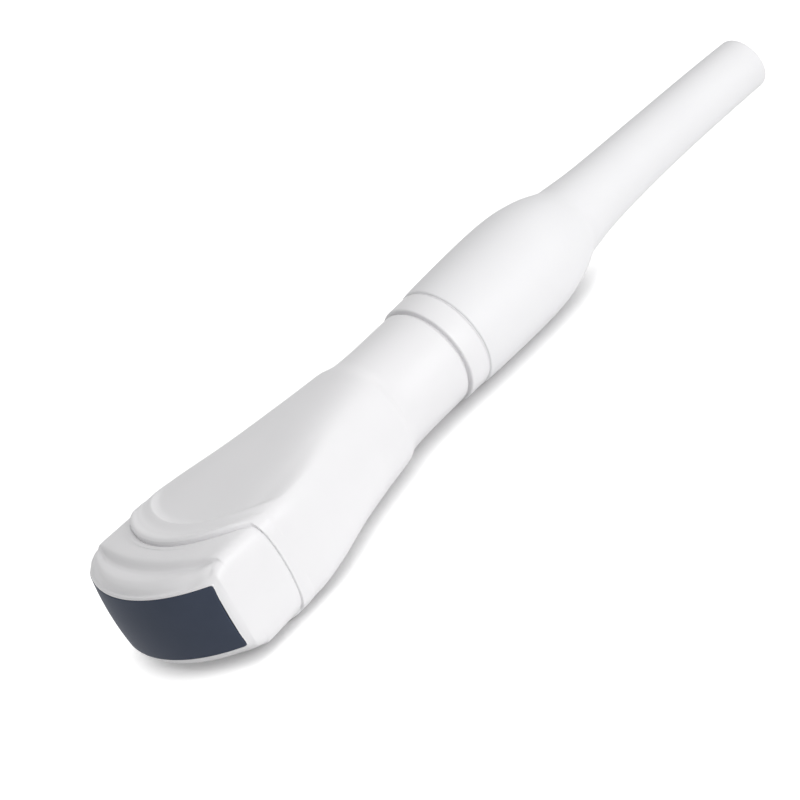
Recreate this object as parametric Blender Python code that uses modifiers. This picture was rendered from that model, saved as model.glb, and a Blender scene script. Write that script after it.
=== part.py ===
"""Convex ultrasound transducer probe, lying on its wide face.

Every piece is drawn on the probe's own axis, which is X: x = 0 is the middle of the lens, and the cable
end is at the largest x. Y is the probe's width and Z its thickness. An empty then lowers the whole probe
onto the surface that it lies on, with the middle of its length over the world's origin. Lengths are metres.
"""

import math

import bmesh
import bpy
import numpy as np

# Gaps between pieces that touch on the real probe
seat_gap = 0.0003
neck_groove = 0.0006
ring_groove = 0.00035

# Acoustic lens, and the stack of layers behind it
lens_radius = 0.0400
lens_rim_width = 0.0015
lens_height = 0.0178
lens_crown = 0.0006
lens_thickness = 0.0014
lens_squareness = 36.0
layer_thickness = 0.0005
array_margin = 0.0038
array_height = 0.0128
element_count = 48
element_depth = 0.0009
element_base = 0.0005
kerf_share = 0.24
backing_length = 0.0215
backing_groove_count = 3
backing_groove_depth = 0.0030

# Head, nosepiece and grip
head_width = 0.0516
head_height = 0.0298
nose_length = 0.0272
nose_narrowing = 0.0002
nose_lowering = 0.0002
seam_bow = 0.0117
bow_share = 0.91
lip_height = 0.0004
shell_wall = 0.0020
spigot_length = 0.0042
spigot_wall = 0.0015
throat_ledge = 0.0016
throat_length = 0.0040
throat_flare = 0.0010
window_setback = 0.0001
dish_depth = 0.0007
dish_place = 0.0395
dish_bow = 0.0140
ridge_bow_step = 0.0010
head_squareness = 6.6
seam_edge_inset = 0.0005
seam_edge_drop = 0.0006
flare_end_squareness = 2.3
fade_start = 0.72
fade_end = 0.97
grip_length = 0.0818
neck_length = 0.0252
neck_diameter = 0.0276
neck_root_diameter = 0.0287
shoulder_height = 0.0005
shoulder_length = 0.0020
neck_wall = 0.0019
neck_edge = 0.0005

# Trim ring and bend relief boot
ring_width = 0.00685
ring_diameter = 0.0291
ring_edge = 0.0004
boot_length = 0.1264
boot_front_diameter = 0.0297
bulb_diameter = 0.0306
bulb_length = 0.0490
boot_tail_diameter = 0.0184
boot_end_diameter = 0.0151
boot_end_round = 0.0010
boot_droop = 0.0028
cable_bore_diameter = 0.0088

# Pieces inside the grip
carrier_length = 0.0155
carrier_setback = 0.0022
carrier_lead = 0.0010
board_width = 0.0220
board_length = 0.0300
board_thickness = 0.0010
board_spacing = 0.0060
board_start = 0.0500
board_corner = 0.0012
connector_depth = 0.0050
connector_height = 0.0020
connector_width = 0.0180
connector_inset = 0.0010
mounting_inset = 0.0030
mounting_setback = 0.0095
flex_thickness = 0.0003
flex_side_margin = 0.0008
chassis_thickness = 0.0012
chassis_taper_length = 0.0080
chassis_tail_inset = 0.0020
spacer_radius = 0.0020
screw_shank_radius = 0.0008
screw_head_radius = 0.0015
screw_head_height = 0.0009
shield_thickness = 0.0004
shield_end_gap = 0.0020
sleeve_depth = 0.0134
sleeve_reach = 0.0150
sleeve_wall = 0.0030
sleeve_chamfer = 0.0005
o_ring_thickness = 0.0011
o_ring_groove_width = 0.0018
neck_o_ring_setback = 0.0045
boot_o_ring_reach = 0.0065
seal_thickness = 0.0010
clamp_length = 0.0110
screw_seat = 0.0052
screw_reach = 0.0095
ferrule_length = 0.0075
ferrule_wall = 0.0012
ferrule_bead = 0.0003
cable_clearance = 0.0002

# Fineness of the round and lofted shapes
quarter_steps = 11
inner_quarter_steps = 8
turned_steps = 36
inner_turned_steps = 24
small_turned_steps = 8

# Places along the axis that follow from the sizes
lens_width = head_width - 2 * lens_rim_width
curve_centre = lens_radius
seam_side = nose_length
neck_end = nose_length + grip_length
shoulder_start = neck_end - neck_length
ring_start = neck_end + neck_groove
ring_end = ring_start + ring_width
boot_start = ring_end + ring_groove
boot_end = boot_start + boot_length
sleeve_start = neck_end - sleeve_depth
sleeve_end = boot_start + sleeve_reach
neck_bore_radius = neck_diameter / 2 - neck_wall
sleeve_radius = neck_bore_radius - seat_gap
clamp_start = sleeve_end + seat_gap
clamp_end = clamp_start + clamp_length
ferrule_start = clamp_end + 4 * seat_gap + 0.003
carrier_end = seam_side + spigot_length - carrier_setback

parts = bpy.data.collections.new("ultrasound_probe")
helpers = bpy.data.collections.new("probe_cutters")


def clear_scene():
    for thing in list(bpy.data.objects):
        bpy.data.objects.remove(thing, do_unlink=True)
    bpy.context.scene.collection.children.link(parts)
    bpy.context.scene.collection.children.link(helpers)


def plain_material(name, colour, roughness, metallic=0.0):
    material = bpy.data.materials.new(name)
    material.use_nodes = True
    shader = material.node_tree.nodes["Principled BSDF"]
    shader.inputs["Base Color"].default_value = (*colour, 1.0)
    shader.inputs["Roughness"].default_value = roughness
    shader.inputs["Metallic"].default_value = metallic
    return material


def add_part(name, data, material):
    """A new object on the probe's axis, with its own finish."""
    part = bpy.data.objects.new(name, data)
    data.materials.append(material)
    parts.objects.link(part)
    part.parent = probe
    return part


def smooth_rise(share):
    """0 to 1 with level ends, for a share that runs from 0 to 1."""
    share = min(max(share, 0.0), 1.0)
    return share * share * (3 - 2 * share)


def flowing(place, places, values):
    """A smooth curve through the values at the places, which never swings past them."""
    places = np.asarray(places, float)
    values = np.asarray(values, float)
    rises = np.diff(values) / np.diff(places)
    slopes = np.concatenate([[rises[0]], (rises[:-1] + rises[1:]) / 2, [rises[-1]]])
    for step, rise in enumerate(rises):
        for end in (step, step + 1):
            if slopes[end] * rise <= 0:
                slopes[end] = 0.0
            elif abs(slopes[end]) > 3 * abs(rise):
                slopes[end] = 3 * rise
    place = min(max(place, places[0]), places[-1])
    step = min(int(np.searchsorted(places, place, side="right")) - 1, len(rises) - 1)
    width = places[step + 1] - places[step]
    t = (place - places[step]) / width
    near = values[step] * (1 + 2 * t) * (1 - t) ** 2 + slopes[step] * width * t * (1 - t) ** 2
    far = values[step + 1] * t * t * (3 - 2 * t) - slopes[step + 1] * width * t * t * (1 - t)
    return float(near + far)


# Sections of the shells: rounded oblongs that turn into circles

def quarter_angles(half_width, half_height, squareness, steps):
    """Angles of a quarter of the section, closer together where its edge turns faster."""
    fine = np.linspace(0.0, math.pi / 2, 361)
    reach = (np.cos(fine) ** squareness + np.sin(fine) ** squareness) ** (-1 / squareness)
    across = half_width * reach * np.cos(fine)
    up = half_height * reach * np.sin(fine)
    length = np.hypot(np.diff(across), np.diff(up))
    heading = np.unwrap(np.arctan2(np.diff(up), np.diff(across)))
    turn = np.abs(np.diff(heading, prepend=heading[0]))
    way = np.cumsum(length / length.sum() + turn / turn.sum()) / 2
    return np.interp(np.linspace(0, 1, steps + 1), np.concatenate([[0.0], way]), fine)


def section(half_width, half_height, squareness, steps=quarter_steps):
    """Points (y, z) once round a rounded oblong, from +Y by way of +Z."""
    angles = quarter_angles(half_width, half_height, squareness, steps)
    reach = (np.cos(angles) ** squareness + np.sin(angles) ** squareness) ** (-1 / squareness)
    across = half_width * reach * np.cos(angles)
    up = half_height * reach * np.sin(angles)
    up[0] = 0.0
    across[-1] = 0.0
    first = list(zip(across, up))
    second = [(-y, z) for y, z in first[-2::-1]]
    half = first + second
    return half + [(y, -z) for y, z in half[-2:0:-1]]


def bowed(side, bow, half_width):
    """The x of a line across the probe that reaches forward by bow in the middle, on a circle.

    The circle ends a little inside the half width, and from there on the line is straight.
    """
    reach = half_width * bow_share
    radius = (reach ** 2 + bow ** 2) / (2 * max(bow, 1e-6))
    return lambda y, z: side - bow + radius - math.sqrt(radius ** 2 - min(abs(y), reach) ** 2)


def lens_face(depth):
    """The x of the lens's outer face, or of a face that lies behind it by depth."""
    def place(y, z):
        fall = lens_crown * (2 * z / lens_height) ** 2
        return curve_centre - math.sqrt((lens_radius - depth) ** 2 - y ** 2) + fall
    return place


def level(place):
    return lambda y, z: place


def row(x_rule, half_width, half_height, squareness, drop=0.0, steps=quarter_steps):
    """One ring of points round a shell. Drop lowers its wide faces, and fades out towards the corners."""
    ring = []
    for y, z in section(half_width, half_height, squareness, steps):
        fade = 1 - smooth_rise((abs(y) / half_width - fade_start) / (fade_end - fade_start))
        ring.append((x_rule(y, z), y, z - math.copysign(drop * fade, z)))
    return ring


def shell_of_rows(name, rows, material):
    """A wall lofted through the rows in turn, whose last row joins the first, so it is skinned all round."""
    shell = bmesh.new()
    rings = [[shell.verts.new(point) for point in ring] for ring in rows]
    for here, there in zip(rings, rings[1:] + rings[:1]):
        for i in range(len(here)):
            after = (i + 1) % len(here)
            shell.faces.new((here[i], here[after], there[after], there[i]))
    bmesh.ops.recalc_face_normals(shell, faces=shell.faces)
    mesh = bpy.data.meshes.new(name)
    shell.to_mesh(mesh)
    shell.free()
    mesh.shade_smooth()
    mesh.set_sharp_from_angle(angle=math.radians(35))
    return add_part(name, mesh, material)


def flat_plate(name, outline, low, high, material, holes=()):
    """A plate cut to an outline in plan, from z = low to z = high, with holes through it."""
    curve = bpy.data.curves.new(name, "CURVE")
    curve.dimensions = "2D"
    curve.fill_mode = "BOTH"
    curve.extrude = (high - low) / 2
    for points in (outline, *holes):
        spline = curve.splines.new("POLY")
        spline.points.add(len(points) - 1)
        for point, (x, y) in zip(spline.points, points):
            point.co = (x, y, 0.0, 1.0)
        spline.use_cyclic_u = True
    plate = add_part(name, curve, material)
    plate.location = (0.0, 0.0, (low + high) / 2)
    return plate


def circle(x, y, radius, steps=12):
    turns = [2 * math.pi * i / steps for i in range(steps)]
    return [(x + radius * math.cos(turn), y + radius * math.sin(turn)) for turn in turns]


def arc_of(radius, half_angle, steps):
    """Points in plan on a circle about the lens's centre of curvature, from -Y to +Y on its front."""
    angles = np.linspace(-half_angle, half_angle, steps + 1)
    return [(curve_centre - radius * math.cos(a), radius * math.sin(a)) for a in angles]


def turned(name, profile, material, steps=turned_steps, closed=True):
    """A piece turned on the probe's axis. Its profile lists (x, radius) along the outside, then back inside."""
    lathe = bmesh.new()
    points = [lathe.verts.new((radius, 0.0, -x)) for x, radius in profile]
    for here, there in zip(points, points[1:] + (points[:1] if closed else [])):
        lathe.edges.new((here, there))
    mesh = bpy.data.meshes.new(name)
    lathe.to_mesh(mesh)
    lathe.free()
    piece = add_part(name, mesh, material)
    piece.rotation_euler = (0.0, -math.pi / 2, 0.0)
    screw = piece.modifiers.new("turn", "SCREW")
    screw.axis = "Z"
    screw.angle = 2 * math.pi
    screw.steps = steps
    screw.render_steps = steps
    screw.use_merge_vertices = True
    screw.merge_threshold = 1e-6
    screw.use_smooth_shade = True
    return piece


# The finish of each kind of piece

clear_scene()
probe = bpy.data.objects.new("probe_axis", None)
parts.objects.link(probe)

white_shell = plain_material("white_shell", (0.80, 0.81, 0.81), 0.42)
white_boot = plain_material("white_boot", (0.80, 0.80, 0.81), 0.55)
lens_rubber = plain_material("lens_rubber", (0.060, 0.072, 0.098), 0.38)
layer_resin = plain_material("layer_resin", (0.42, 0.30, 0.16), 0.45)
ceramic = plain_material("ceramic", (0.62, 0.56, 0.42), 0.60)
backing_resin = plain_material("backing_resin", (0.10, 0.10, 0.11), 0.70)
frame_plastic = plain_material("frame_plastic", (0.12, 0.12, 0.13), 0.50)
flex_film = plain_material("flex_film", (0.55, 0.27, 0.08), 0.35)
board_laminate = plain_material("board_laminate", (0.03, 0.16, 0.08), 0.45)
steel = plain_material("steel", (0.56, 0.57, 0.58), 0.30, 1.0)
copper = plain_material("copper", (0.72, 0.38, 0.22), 0.32, 1.0)
brass = plain_material("brass", (0.72, 0.56, 0.28), 0.30, 1.0)
black_rubber = plain_material("black_rubber", (0.02, 0.02, 0.02), 0.65)


# Acoustic lens: a silicone sheet curved to the array, with a slight crown across its thickness

def add_lens():
    columns = 28
    lines = 6
    sheet = bmesh.new()
    bmesh.ops.create_grid(sheet, x_segments=columns, y_segments=lines, size=1.0)
    face = lens_face(0.0)
    for vertex in sheet.verts:
        across, up = abs(vertex.co.x), abs(vertex.co.y)
        far = max(across, up, 1e-9)
        corner = far / (across ** lens_squareness + up ** lens_squareness + 1e-30) ** (1 / lens_squareness)
        y = vertex.co.x * corner * lens_width / 2
        z = vertex.co.y * corner * lens_height / 2
        vertex.co = (face(y, z), y, z)
    mesh = bpy.data.meshes.new("acoustic_lens")
    sheet.to_mesh(mesh)
    sheet.free()
    mesh.flip_normals()
    lens = add_part("acoustic_lens", mesh, lens_rubber)
    wall = lens.modifiers.new("silicone", "SOLIDIFY")
    wall.thickness = lens_thickness
    wall.offset = -1.0
    mesh.shade_smooth()
    return lens


add_lens()


# Two matching layers, which lie one behind the other on the same centre of curvature

def add_layer(name, front_radius, thickness, material):
    outside = arc_of(front_radius, array_half_angle, 28)
    inside = arc_of(front_radius - thickness, array_half_angle, 28)
    half = array_height / 2
    return flat_plate(name, outside + inside[::-1], -half, half, material)


outer_layer_radius = lens_radius - lens_thickness - lens_crown - seat_gap
array_half_angle = math.asin((lens_width / 2 - array_margin) / outer_layer_radius)
inner_layer_radius = outer_layer_radius - layer_thickness - seat_gap
array_radius = inner_layer_radius - layer_thickness - seat_gap
backing_radius = array_radius - element_depth - element_base - seat_gap

add_layer("outer_matching_layer", outer_layer_radius, layer_thickness, layer_resin)
add_layer("inner_matching_layer", inner_layer_radius, layer_thickness, layer_resin)


# Piezo array: a curved ceramic bar diced into elements, which stay joined at their base

def add_array():
    pitch = 2 * array_half_angle / element_count
    kerf = pitch * kerf_share
    front = array_radius
    root = array_radius - element_depth
    outline = []
    for element in range(element_count):
        start = -array_half_angle + element * pitch + kerf / 2
        end = start + pitch - kerf
        for radius, angle in ((root, start), (front, start), (front, end), (root, end)):
            outline.append((curve_centre - radius * math.cos(angle), radius * math.sin(angle)))
    back = arc_of(root - element_base, array_half_angle, element_count // 2)
    half = array_height / 2
    return flat_plate("piezo_array", outline + back[::-1], -half, half, ceramic)


add_array()


# Backing block: its front is curved to the array, and saw cuts in its back scatter what it doesn't absorb

def add_backing():
    front = arc_of(backing_radius, array_half_angle, 28)
    half_width = front[-1][1]
    back = curve_centre - backing_radius + backing_length
    outline = list(front)
    outline.append((back, half_width))
    bay = 2 * half_width / (2 * backing_groove_count + 1)
    for groove in range(backing_groove_count):
        near = half_width - (2 * groove + 1) * bay
        outline.append((back, near))
        outline.append((back - backing_groove_depth, near - bay * 0.25))
        outline.append((back - backing_groove_depth, near - bay * 0.75))
        outline.append((back, near - bay))
    outline.append((back, -half_width))
    half = array_height / 2
    return flat_plate("backing_block", outline, -half, half, backing_resin)


add_backing()
backing_half_width = backing_radius * math.sin(array_half_angle)


# Nosepiece: one moulding round the lens, with a stepped shell form on its wide faces and a spigot behind

window_half_width = lens_width / 2 + seat_gap
window_half_height = lens_height / 2 + seat_gap
ledge_depth = lens_thickness + seat_gap
throat_half_width = window_half_width - throat_ledge
throat_half_height = window_half_height - throat_ledge
throat_depth = ledge_depth + throat_ledge
nose_half_width = head_width / 2 - nose_narrowing
head_half_height = head_height / 2
nose_half_height = head_half_height - nose_lowering
throat_rear_half_height = window_half_height + throat_flare
spigot_half_width = nose_half_width - shell_wall
spigot_half_height = nose_half_height - shell_wall
spigot_end = seam_side + spigot_length
seam_edge_width = nose_half_width - seam_edge_inset
seam_edge_height = nose_half_height - seam_edge_drop

# Heights on the wide faces are shares of the way from the window's edge up to the head's height.
# Rows over the front, which follow the lens: depth behind its face, inset of the sides, share at the
# corners, squareness, share in the middle
nose_front_rows = (
    (0.0002, 0.0010, 0.11, 14.0, 0.10),
    (0.0006, 0.0004, 0.30, 11.0, 0.13),
)
# Rows over the lobe, the step and the terrace, which are bowed: place in the middle, bow, share at the
# corners, squareness, share in the middle
nose_terrace_rows = (
    (0.0020, 0.0092, 0.60, 9.5, 0.38),
    (0.0030, 0.0090, 0.71, 9.0, 0.53),
    (0.0045, 0.0083, 0.78, 9.0, 0.600),
    (0.0060, 0.0074, 0.82, 9.0, 0.620),
    (0.0074, 0.0064, 0.84, 9.0, 0.610),
    (0.0083, 0.0058, 0.86, 8.8, 0.620),
    (0.0090, 0.0053, 0.90, 8.6, 0.69),
    (0.0096, 0.0049, 0.95, 8.5, 0.80),
    (0.0102, 0.0046, 0.98, 8.4, 0.87),
    (0.0110, 0.0045, 1.00, 8.3, 0.89),
    (0.0140, 0.0067, 1.00, 7.5, 0.91),
    (seam_side - seam_bow - 0.0012, seam_bow, 1.00, 6.8, 0.93),
)


def seam_line(behind):
    """The x of the seam, or of a line that lies behind it."""
    return bowed(seam_side + behind, seam_bow, nose_half_width)


def add_nosepiece():
    width = nose_half_width
    height = nose_half_height
    spigot_height = spigot_half_height - spigot_wall
    rows = [row(lens_face(window_setback), window_half_width, window_half_height, lens_squareness)]
    rise = height - window_half_height
    for depth, inset, corner, squareness, middle in nose_front_rows:
        top = window_half_height + rise * corner
        rows.append(row(lens_face(depth), width - inset, top, squareness, rise * (corner - middle)))
    for place, bow, corner, squareness, middle in nose_terrace_rows:
        top = window_half_height + rise * corner
        rows.append(row(bowed(place + bow, bow, width), width, top, squareness, rise * (corner - middle)))
    rows += [
        row(seam_line(-0.0002), width - 0.0001, height - 0.0002, head_squareness, 0.0002),
        row(seam_line(0.0), seam_edge_width, seam_edge_height, head_squareness),
        row(seam_line(0.0), spigot_half_width, spigot_half_height, head_squareness),
        row(level(spigot_end), spigot_half_width, spigot_half_height, head_squareness),
        row(level(spigot_end), spigot_half_width - spigot_wall, spigot_height, head_squareness),
        row(lens_face(throat_depth + throat_length), throat_half_width, throat_rear_half_height, 8.0),
        row(lens_face(throat_depth), throat_half_width, throat_half_height, 12.0),
        row(lens_face(ledge_depth), throat_half_width, throat_half_height, 14.0),
        row(lens_face(ledge_depth), window_half_width, window_half_height, lens_squareness),
    ]
    return shell_of_rows("nosepiece", rows, white_shell)


add_nosepiece()


# Grip housing: one sleeve from the wide head to the round neck, with a raised lip at the seam

flare_places = (0.0, 0.17, 0.385, 0.60, 0.81, 1.0)
flare_shares = (1.0, 0.985, 0.79, 0.467, 0.26, 0.15)
socket_half_width = spigot_half_width + seat_gap
socket_half_height = spigot_half_height + seat_gap


def flare_share(place):
    """How far along the flare a place is, from 0 at the seam to 1 at the shoulder."""
    return (place - seam_side) / (shoulder_start - seam_side)


def grip_half_width(place):
    share = flowing(flare_share(place), flare_places, flare_shares)
    return neck_root_diameter / 2 + (head_width - neck_root_diameter) / 2 * share


def grip_half_height(place):
    """Level over the head, then drawn in to the shoulder."""
    end = neck_root_diameter / 2 + shoulder_height
    return end + (head_half_height - end) * (1 - smooth_rise(flare_share(place) / 0.75))


def grip_squareness(place):
    share = flowing(flare_share(place), (0.0, 0.25, 0.6, 1.0), (1.0, 0.92, 0.40, 0.0))
    return flare_end_squareness + (head_squareness - flare_end_squareness) * share


def grip_row(place, bow=0.0, drop=0.0, inset=0.0, steps=quarter_steps):
    width = grip_half_width(place) - inset
    height = grip_half_height(place) - inset
    return row(bowed(place, bow, width), width, height, grip_squareness(place), drop, steps)


def add_grip():
    width = head_width / 2
    height = head_half_height
    rows = [
        row(seam_line(ring_groove), socket_half_width, socket_half_height, head_squareness),
        row(seam_line(ring_groove), seam_edge_width, seam_edge_height, head_squareness),
        row(seam_line(ring_groove + 0.0005), width, height + lip_height, head_squareness),
        row(seam_line(ring_groove + 0.0022), width, height + lip_height * 0.15, head_squareness),
        grip_row(dish_place - 0.0075, dish_bow - 2.5 * ridge_bow_step, 0.0002),
        grip_row(dish_place - 0.0035, dish_bow - ridge_bow_step),
        grip_row(dish_place - 0.0020, dish_bow, dish_depth * 0.35),
        grip_row(dish_place, dish_bow, dish_depth),
    ]
    fall = shoulder_start - dish_place
    for share, bow_share_left in zip((0.12, 0.24, 0.36, 0.50, 0.64, 0.78, 0.91), (0.60, 0.25, 0, 0, 0, 0, 0)):
        drop = dish_depth * (1 - smooth_rise(share / 0.64))
        rows.append(grip_row(dish_place + fall * share, dish_bow * bow_share_left, drop))
    root = neck_root_diameter / 2
    end = neck_diameter / 2
    taper = root - (root - end) * 0.65
    shoulder_end = shoulder_start + shoulder_length
    rows += [
        grip_row(shoulder_start),
        row(
            level(shoulder_start + shoulder_length * 0.45), root + shoulder_height * 0.75,
            root + shoulder_height * 0.6, 2.1,
        ),
        row(level(shoulder_end), root, root, 2.0),
        row(level(shoulder_end + neck_length * 0.30), taper, taper, 2.0),
        row(level(neck_end - neck_edge), end, end, 2.0),
        row(level(neck_end), end - neck_edge, end - neck_edge, 2.0),
        row(level(neck_end), neck_bore_radius, neck_bore_radius, 2.0),
        row(level(sleeve_start - 0.0010), neck_bore_radius, neck_bore_radius, 2.0),
    ]
    for share in (0.95, 0.72, 0.48, 0.24):
        rows.append(grip_row(seam_side + (shoulder_start - seam_side) * share, inset=shell_wall + dish_depth))
    rows.append(row(level(spigot_end + seat_gap), socket_half_width, socket_half_height, head_squareness))
    return shell_of_rows("grip_housing", rows, white_shell)


add_grip()


# Seal: a rubber cord in the corner between the spigot's end and the housing

def add_nose_seal():
    curve = bpy.data.curves.new("nose_seal", "CURVE")
    curve.dimensions = "3D"
    curve.bevel_depth = seal_thickness / 2
    curve.bevel_resolution = 1
    inset = spigot_wall / 2
    seal_width = spigot_half_width - inset
    seal_height = spigot_half_height - inset
    points = section(seal_width, seal_height, head_squareness, inner_quarter_steps)
    spline = curve.splines.new("POLY")
    spline.points.add(len(points) - 1)
    place = spigot_end + seat_gap + seal_thickness / 2
    for point, (y, z) in zip(spline.points, points):
        point.co = (place, y, z, 1.0)
    spline.use_cyclic_u = True
    return add_part("nose_seal", curve, black_rubber)


add_nose_seal()


# Array carrier: a frame glued into the nosepiece, which holds the stack by its sides

def add_carrier():
    front = carrier_end - carrier_length
    outer_width = throat_half_width - seat_gap
    outer_height = min(throat_rear_half_height, spigot_half_height - spigot_wall) - seat_gap
    slot_width = backing_half_width + seat_gap
    slot_height = array_height / 2 + flex_thickness + 2 * seat_gap
    steps = inner_quarter_steps
    narrow = spigot_half_width - spigot_wall - seat_gap
    rows = [
        row(level(front), narrow - 2 * carrier_lead, outer_height - 0.6 * carrier_lead, 8.0, 0.0, steps),
        row(level(front + carrier_lead), narrow, outer_height, 8.0, 0.0, steps),
        row(level(carrier_end), min(outer_width, narrow), outer_height, 8.0, 0.0, steps),
        row(level(carrier_end), slot_width, slot_height, 30.0, 0.0, steps),
        row(level(front), slot_width, slot_height, 30.0, 0.0, steps),
    ]
    return shell_of_rows("array_carrier", rows, frame_plastic)


add_carrier()


# Termination boards with their connectors, spacers and screws, on both sides of a chassis plate

board_end = board_start + board_length
board_inner_face = board_spacing / 2
board_outer_face = board_inner_face + board_thickness
mounting_places = [
    (board_start + mounting_setback, board_width / 2 - mounting_inset),
    (board_start + mounting_setback, mounting_inset - board_width / 2),
    (board_end - mounting_inset, board_width / 2 - mounting_inset),
    (board_end - mounting_inset, mounting_inset - board_width / 2),
]


def box_outline(near, far, half_width, corner):
    """An oblong in plan with cut corners."""
    return [
        (near + corner, -half_width), (far - corner, -half_width), (far, corner - half_width),
        (far, half_width - corner), (far - corner, half_width), (near + corner, half_width),
        (near, half_width - corner), (near, corner - half_width),
    ]


def add_board(name, side):
    holes = [circle(x, y, screw_shank_radius + seat_gap) for x, y in mounting_places]
    low, high = sorted((side * board_inner_face, side * board_outer_face))
    outline = box_outline(board_start, board_end, board_width / 2, board_corner)
    return flat_plate(name, outline, low, high, board_laminate, holes)


def add_connector(name, side):
    near = board_outer_face + seat_gap
    low, high = sorted((side * near, side * (near + connector_height)))
    front = board_start + connector_inset
    outline = box_outline(front, front + connector_depth, connector_width / 2, board_corner / 2)
    return flat_plate(name, outline, low, high, frame_plastic)


def add_chassis():
    front = carrier_end + seat_gap
    rear = sleeve_start - seat_gap
    wide = backing_half_width - 0.0005
    narrow = board_width / 2 - chassis_tail_inset
    taper_start = board_start - chassis_taper_length
    tail_start = board_end + 2 * chassis_tail_inset
    outline = [
        (front, -wide), (taper_start, -wide), (board_start, -board_width / 2), (board_end, -board_width / 2),
        (tail_start, -narrow), (rear, -narrow), (rear, narrow), (tail_start, narrow),
        (board_end, board_width / 2), (board_start, board_width / 2), (taper_start, wide), (front, wide),
    ]
    holes = [circle(x, y, spacer_radius + seat_gap) for x, y in mounting_places]
    half = chassis_thickness / 2
    return flat_plate("chassis_plate", outline, -half, half, steel, holes)


def upright_turned(name, profile, x, y, side, material, steps):
    """A small turned piece on the chassis, whose profile lists (height, radius) from the plate out."""
    lathe = bmesh.new()
    points = [lathe.verts.new((radius, 0.0, height)) for height, radius in profile]
    for here, there in zip(points, points[1:]):
        lathe.edges.new((here, there))
    if profile[0][1] > 0.0:
        lathe.edges.new((points[-1], points[0]))
    mesh = bpy.data.meshes.new(name)
    lathe.to_mesh(mesh)
    lathe.free()
    piece = add_part(name, mesh, material)
    piece.location = (x, y, 0.0)
    piece.rotation_euler = (0.0 if side > 0 else math.pi, 0.0, 0.0)
    screw = piece.modifiers.new("turn", "SCREW")
    screw.axis = "Z"
    screw.angle = 2 * math.pi
    screw.steps = steps
    screw.render_steps = steps
    screw.use_merge_vertices = True
    screw.merge_threshold = 1e-6
    screw.use_smooth_shade = True
    return piece


def spacer_profile():
    half = board_inner_face - seat_gap
    bore = screw_shank_radius + seat_gap
    return [(half, bore), (half, spacer_radius), (-half, spacer_radius), (-half, bore)]


def screw_profile(seat, reach):
    """From the middle of the head, out over it and down to the tip."""
    top = seat + screw_head_height
    return [
        (top, 0.0), (top, screw_head_radius * 0.75), (seat + screw_head_height * 0.6, screw_head_radius),
        (seat, screw_head_radius), (seat, screw_shank_radius),
        (seat - reach, screw_shank_radius), (seat - reach, 0.0),
    ]


add_board("termination_board_upper", 1)
add_board("termination_board_lower", -1)
add_connector("flex_connector_upper", 1)
add_connector("flex_connector_lower", -1)
add_chassis()
corner_names = ("front_left", "front_right", "rear_left", "rear_right")
for corner, (x, y) in zip(corner_names, mounting_places):
    upright_turned("board_spacer_" + corner, spacer_profile(), x, y, 1, brass, 6)
    for layer, side in (("upper", 1), ("lower", -1)):
        seat = board_outer_face + seat_gap
        upright_turned(
            "board_screw_" + layer + "_" + corner, screw_profile(seat, seat - 0.0006), x, y, side, steel,
            small_turned_steps,
        )


# Flex circuits: films that leave the array along its long edges and run back into the connectors

def add_flex(name, side):
    start = curve_centre - backing_radius * math.cos(array_half_angle) + 0.0004
    end = board_start + connector_inset - seat_gap
    level_out = array_height / 2 + seat_gap
    level_in = board_outer_face + seat_gap + connector_height / 2
    bend_start = carrier_end + 0.0010
    wide = backing_half_width - flex_side_margin
    narrow = connector_width / 2 - flex_side_margin
    sheet = bmesh.new()
    bmesh.ops.create_grid(sheet, x_segments=14, y_segments=2, size=1.0)
    for vertex in sheet.verts:
        x = start + (end - start) * (vertex.co.x + 1) / 2
        taper = smooth_rise((x - bend_start) / (end - 0.0020 - bend_start))
        y = vertex.co.y * (wide + (narrow - wide) * taper)
        z = level_out + (level_in - level_out) * taper
        vertex.co = (x, y, side * z)
    mesh = bpy.data.meshes.new(name)
    sheet.to_mesh(mesh)
    sheet.free()
    if side < 0:
        mesh.flip_normals()
    flex = add_part(name, mesh, flex_film)
    wall = flex.modifiers.new("film", "SOLIDIFY")
    wall.thickness = flex_thickness
    wall.offset = 1.0
    mesh.shade_smooth()
    return flex


add_flex("flex_circuit_upper", 1)
add_flex("flex_circuit_lower", -1)


# Shield: a thin copper sleeve against the inside of the grip housing

def add_shield():
    gap = shell_wall + dish_depth + seat_gap
    inner = gap + shield_thickness
    start = spigot_end + seal_thickness + shield_end_gap
    end = shoulder_start - shield_end_gap
    steps = inner_quarter_steps
    places = [start + (end - start) * share for share in (0.0, 0.2, 0.45, 0.7, 1.0)]
    rows = [grip_row(place, inset=gap, steps=steps) for place in places]
    rows += [grip_row(place, inset=inner, steps=steps) for place in reversed(places)]
    return shell_of_rows("shield_sleeve", rows, copper)


add_shield()


# Coupling sleeve: bonded into the neck, it carries the trim ring, the boot and both O-rings

o_ring_floor = sleeve_radius - o_ring_thickness - seat_gap
o_ring_middle = o_ring_floor + seat_gap + o_ring_thickness / 2
neck_o_ring_place = neck_end - neck_o_ring_setback
boot_o_ring_place = boot_start + boot_o_ring_reach
sleeve_bore = sleeve_radius - sleeve_wall


def groove_profile(place):
    half = o_ring_groove_width / 2
    return [
        (place - half, sleeve_radius), (place - half, o_ring_floor),
        (place + half, o_ring_floor), (place + half, sleeve_radius),
    ]


def add_coupling_sleeve():
    edge = sleeve_chamfer
    profile = [(sleeve_start, sleeve_radius - edge), (sleeve_start + edge, sleeve_radius)]
    profile += groove_profile(neck_o_ring_place) + groove_profile(boot_o_ring_place)
    profile += [
        (sleeve_end - edge, sleeve_radius), (sleeve_end, sleeve_radius - edge),
        (sleeve_end, sleeve_bore), (sleeve_start, sleeve_bore),
    ]
    return turned("coupling_sleeve", profile, frame_plastic, inner_turned_steps)


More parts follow.
